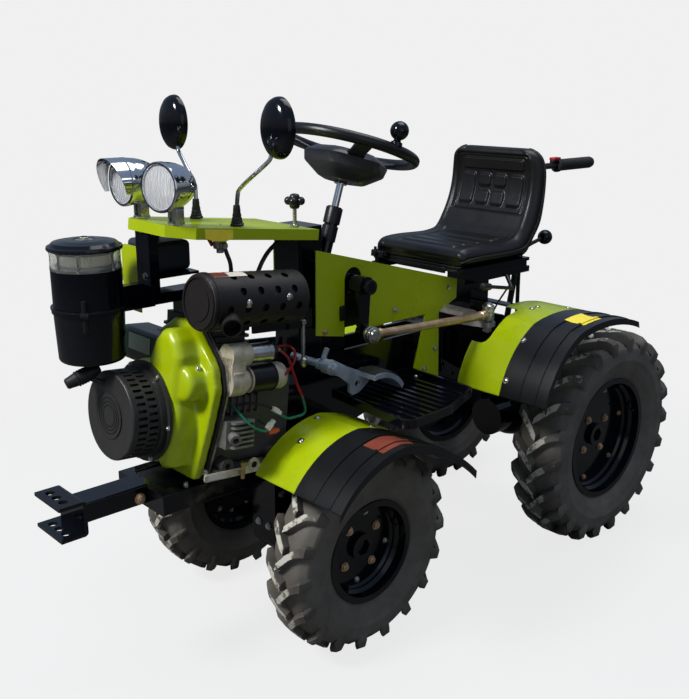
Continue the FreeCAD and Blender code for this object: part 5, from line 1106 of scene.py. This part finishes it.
seatLine = (  # upper face (y, z), under or rear face (y, z), half width, all in millimetres
    ((462, 878), (466, 870), 144), ((456, 886), (467, 864), 153), ((459, 897), (475, 860.5), 160),
    ((472, 905.5), (488, 860.5), 163.5), ((502, 909), (512, 860.5), 164.5), ((548, 909.5), (555, 860.5), 164.5),
    ((600, 907.5), (605, 860.5), 164.5), ((650, 907), (660, 860.5), 164.5), ((692, 914), (707, 860.5), 164.5),
    ((714, 930), (738, 864), 164.5), ((730, 954), (768, 899), 164.5), ((745, 985), (800, 942), 163),
    ((757, 1020), (815, 1000), 162), ((763, 1055), (820, 1052), 161), ((764, 1085), (819, 1088), 160),
    ((762, 1106), (815, 1110), 157), ((759, 1122), (810, 1126), 152), ((758.5, 1133), (806, 1136), 144),
    ((761, 1142), (802, 1143.5), 133), ((767, 1147.5), (796, 1148), 119), ((774, 1149.6), (788, 1149.6), 104))
backPads = ((-110, 110, 1084, 1119), (-110, -60, 990, 1075), (60, 110, 990, 1075), (-50, -4, 1038, 1075),
            (4, 50, 1038, 1075), (-50, -4, 990, 1029), (4, 50, 990, 1029))
cushionPads = ((-100, 100, 490, 526), (-100, 100, 530, 580), (-100, 100, 590, 640), (-100, 100, 650, 692))


def smoothStep(low, high, value):
    share = min(max((value - low) / (high - low), 0), 1)
    return share * share * (3 - 2 * share)


def inside(pad, x, along, soft):
    # 1 well inside a rectangle, 0 outside it, with a soft rounded edge
    across = min(x - pad[0], pad[1] - x)
    length = min(along - pad[2], pad[3] - along)
    corner = 10 - hypot(max(10 - across, 0), max(10 - length, 0))
    return smoothStep(0, soft, corner)


relief = {"backField": 9.5, "backPads": 6, "ridge": 2.6, "seatField": 8, "seatPads": 4.2, "welt": 2.2}


def seatRelief(x, y, z):
    # how far the cover stands above the deepest field, in millimetres
    if z > 965:
        field = inside((-132, 132, 968, 1136), x, z, 14)
        pads = max(inside(pad, x, z, 4.5) for pad in backPads)
        ridge = inside((-122, 122, 978, 1129), x, z, 4) - inside((-118, 118, 982, 1125), x, z, 4)
        return -relief["backField"] * field + relief["backPads"] * pads + relief["ridge"] * ridge
    if y > 478:
        field = inside((-120, 120, 474, 712), x, y, 22)
        pads = max(inside(pad, x, y, 9) for pad in cushionPads)
        return -relief["seatField"] * field + relief["seatPads"] * pads
    return 0


def softLine(stops, places):
    # Catmull-Rom through the stops, at fractional places
    values = []
    for place in places:
        i = min(int(place), len(stops) - 2)
        t = place - i
        a, b, c, d = stops[max(i - 1, 0)], stops[i], stops[i + 1], stops[min(i + 2, len(stops) - 1)]
        values.append(tuple(0.5 * (2 * q + (r - p) * t + (2 * p - 5 * q + 4 * r - s) * t * t
                                   + (3 * q - p - 3 * r + s) * t ** 3) for p, q, r, s in zip(a, b, c, d)))
    return values


def seatShape(rows=230, front=150, rear=34):
    stops = [(*upper, *under, half) for upper, under, half in seatLine]
    line = softLine(stops, [(len(stops) - 1) * row / rows for row in range(rows + 1)])
    points = []
    around = 2 * (front + rear)
    for fy, fz, by, bz, half in line:
        thick = Vector((0, fy - by, fz - bz))
        way = thick.normalized()
        depth, middle = thick.length, Vector((0, (fy + by) / 2, (fz + bz) / 2))
        edge = min(26, depth * 0.48, half * 0.4)
        for step in range(around):
            if step < 2 * front:  # upper or front face, from left to right, then its rounded sides
                x = half - 2 * half * (step + 0.5) / (2 * front)
                out = 1.0
            else:
                x = -half + 2 * half * (step - 2 * front + 0.5) / (2 * rear)
                out = -1.0
            near = max(abs(x) - (half - edge), 0)
            rise = depth / 2 - (edge - sqrt(max(edge * edge - near * near, 0)))
            if out > 0:
                rise += seatRelief(x, fy, fz) * smoothStep(0, 12, depth - 30)
                welt = smoothStep(half - 34, half - 20, abs(x)) - smoothStep(half - 20, half - 6, abs(x))
                rise += relief["welt"] * welt - 1.2
            points.append(at(x, *(middle + way * (rise * out)).yz))
    faces = gridFaces(len(line), around)
    last = around * (len(line) - 1)
    for start in (0, last):
        for step in range(around // 2 - 1):
            faces.append([start + step, start + step + 1, start + around - 2 - step,
                          start + around - 1 - step])
    return points, faces


def seatPiping(side):
    stops = [(*upper, *under, half) for upper, under, half in seatLine]
    line = softLine(stops, [0.6 + (len(stops) - 2.2) * row / 60 for row in range(61)])
    return cable([(side * (half - 0.4), fy * 0.45 + by * 0.55, fz * 0.45 + bz * 0.55)
                  for fy, fz, by, bz, half in line], 2.6, steps=2)


cushion = addPiece("seatCover", [seatShape()], seatVinyl, 60, body="rear", replaced=["seat"])
addPiece("seatPiping", [seatPiping(side) for side in (1, -1)], gripRubber, 60, body="rear")
addPiece("seatBase", [
    box((-88, 470, 836), (88, 476, 852), 2),
    *(box((side * 147.5 - 2.5, 522, 834), (side * 147.5 + 2.5, 724, 852), 1.5) for side in (1, -1)),
    box((-150, 472, 850.5), (150, 732, 859.8), 3), box((-142, 472, 842), (142, 724, 850), 2)], satinBlack,
    body="rear")
addPiece("slideKnob", [
    lathe([(0, 0), (7, 0), (9.5, 4), (9.5, 36), (8, 42), (0, 43)], at(203.5, 520, 811),
          Vector((0.2, -1, 0.2)), 24)], blackMoulding, body="rear")
latchParts = [
    box((-168, 452, 850), (-128, 476, 862), 3), box((-164, 442, 856), (-146, 470, 872), 3),
    box((-140, 452, 858), (-116, 474, 868), 2), rod(at(-168, 452, 866), at(-120, 452, 866), 5),
    rod(at(-156, 452, 848), at(-156, 452, 880), 4)]
addPiece("seatLatch", latchParts, satinBlack, body="rear")
print("seat")


# stage, camera and light

camera = {"place": (1.68270, axleY - 1.39962, 1.32685), "turn": 48.243, "pitch": 17.497, "lens": 47.39,
          "shift": (0.0347, 0.0319)}
studio = {"paper": "#F0F0F0", "floorSize": 30, "glow": 0.9, "ground": "#6E6C68",
          "sky": ((0.0, "#8A8781"), (0.5, "#9C9C9A"), (0.56, "#B9C8DC"), (0.78, "#A9C4EC"), (1.0, "#C2D8F6")),
          "fill": 0.46}


def seenDirectly(tree):
    # 1 where the camera looks straight at it, or through glass
    rays = addNode(tree, "LightPath")
    return addNode(tree, "Math", {"operation": "MAXIMUM"}, i0=rays, i1=rays.outputs["Is Transmission Ray"])


def makeStage():
    # pale paper floor: nearly its own even tone to the camera, fully so far out; darker to everything else
    floor = bpy.data.objects.new("studioFloor", bpy.data.meshes.new("studioFloor"))
    sheet = bmesh.new()
    bmesh.ops.create_grid(sheet, x_segments=1, y_segments=1, size=studio["floorSize"])
    sheet.to_mesh(floor.data)
    sheet.free()
    bpy.context.scene.collection.objects.link(floor)
    material, tree, shader, where = newMaterial("studioFloorPaper")
    setUp(tree, shader, {"Base Color": toLinear("#E6E6E6"), "Roughness": 0.9}, {})
    far = addNode(tree, "VectorMath", {"operation": "LENGTH"}, i0=where).outputs["Value"]
    share = addNode(tree, "MapRange", {"From Min": 0.9, "From Max": 2.2, "To Min": studio["glow"]}, Value=far)
    glow = addNode(tree, "Emission", {"Color": toLinear(studio["paper"])})
    paper = addNode(tree, "MixShader", i0=share, i1=shader, i2=glow)
    ground = addNode(tree, "BsdfDiffuse", {"Color": toLinear(studio["ground"])})
    mixed = addNode(tree, "MixShader", i0=seenDirectly(tree), i1=ground, i2=paper)
    setUp(tree, tree.nodes["Material Output"], {}, {"Surface": mixed})
    floor.data.materials.append(material)


def makeCamera():
    data = bpy.data.cameras.new("viewCamera")
    data.lens = camera["lens"]
    data.sensor_width = 36
    data.shift_x, data.shift_y = camera["shift"]
    data.clip_start, data.clip_end = 0.05, 90
    viewer = bpy.data.objects.new("viewCamera", data)
    viewer.location = camera["place"]
    viewer.rotation_euler = (radians(90 - camera["pitch"]), 0, radians(camera["turn"]))
    bpy.context.scene.collection.objects.link(viewer)
    bpy.context.scene.camera = viewer


lamps = {
    "keyLamp": {"place": (-0.4, -3.6, 3.6), "size": 0.9, "power": 200},
    "fillLamp": {"place": (4.0, -1.2, 1.8), "size": 2.4, "power": 7},
    "topLamp": {"place": (0.2, 0.9, 4.2), "size": 2.4, "power": 62}}


def makeLights():
    for name, lamp in lamps.items():
        data = bpy.data.lights.new(name, "AREA")
        data.size, data.energy = lamp["size"], lamp["power"]
        light = bpy.data.objects.new(name, data)
        light.location = lamp["place"]
        aim = Vector((0, 0, 0.5)) - Vector(lamp["place"])
        light.rotation_euler = aim.to_track_quat("-Z", "Y").to_euler()
        bpy.context.scene.collection.objects.link(light)
    # open sky over dark ground, seen by the object only; the camera sees paper
    world = bpy.data.worlds.new("studioWorld")
    bpy.context.scene.world = world
    world.use_nodes = True
    tree = world.node_tree
    height = addNode(tree, "SeparateXYZ", i0=addNode(tree, "TexCoord")).outputs["Z"]
    sky = addNode(tree, "ValToRGB", Fac=addNode(tree, "MapRange", {"From Min": -1.0}, Value=height))
    setRamp(sky, *studio["sky"])
    room = setUp(tree, tree.nodes["Background"], {"Strength": studio["fill"]}, {"Color": sky})
    paper = addNode(tree, "Background", {"Color": toLinear(studio["paper"])})
    mixed = addNode(tree, "MixShader", i0=seenDirectly(tree), i1=room, i2=paper)
    setUp(tree, tree.nodes["World Output"], {}, {"Surface": mixed})


makeStage()
makeCamera()
makeLights()
bpy.context.scene.view_settings.view_transform = "Standard"
print("stage, camera and lamps")
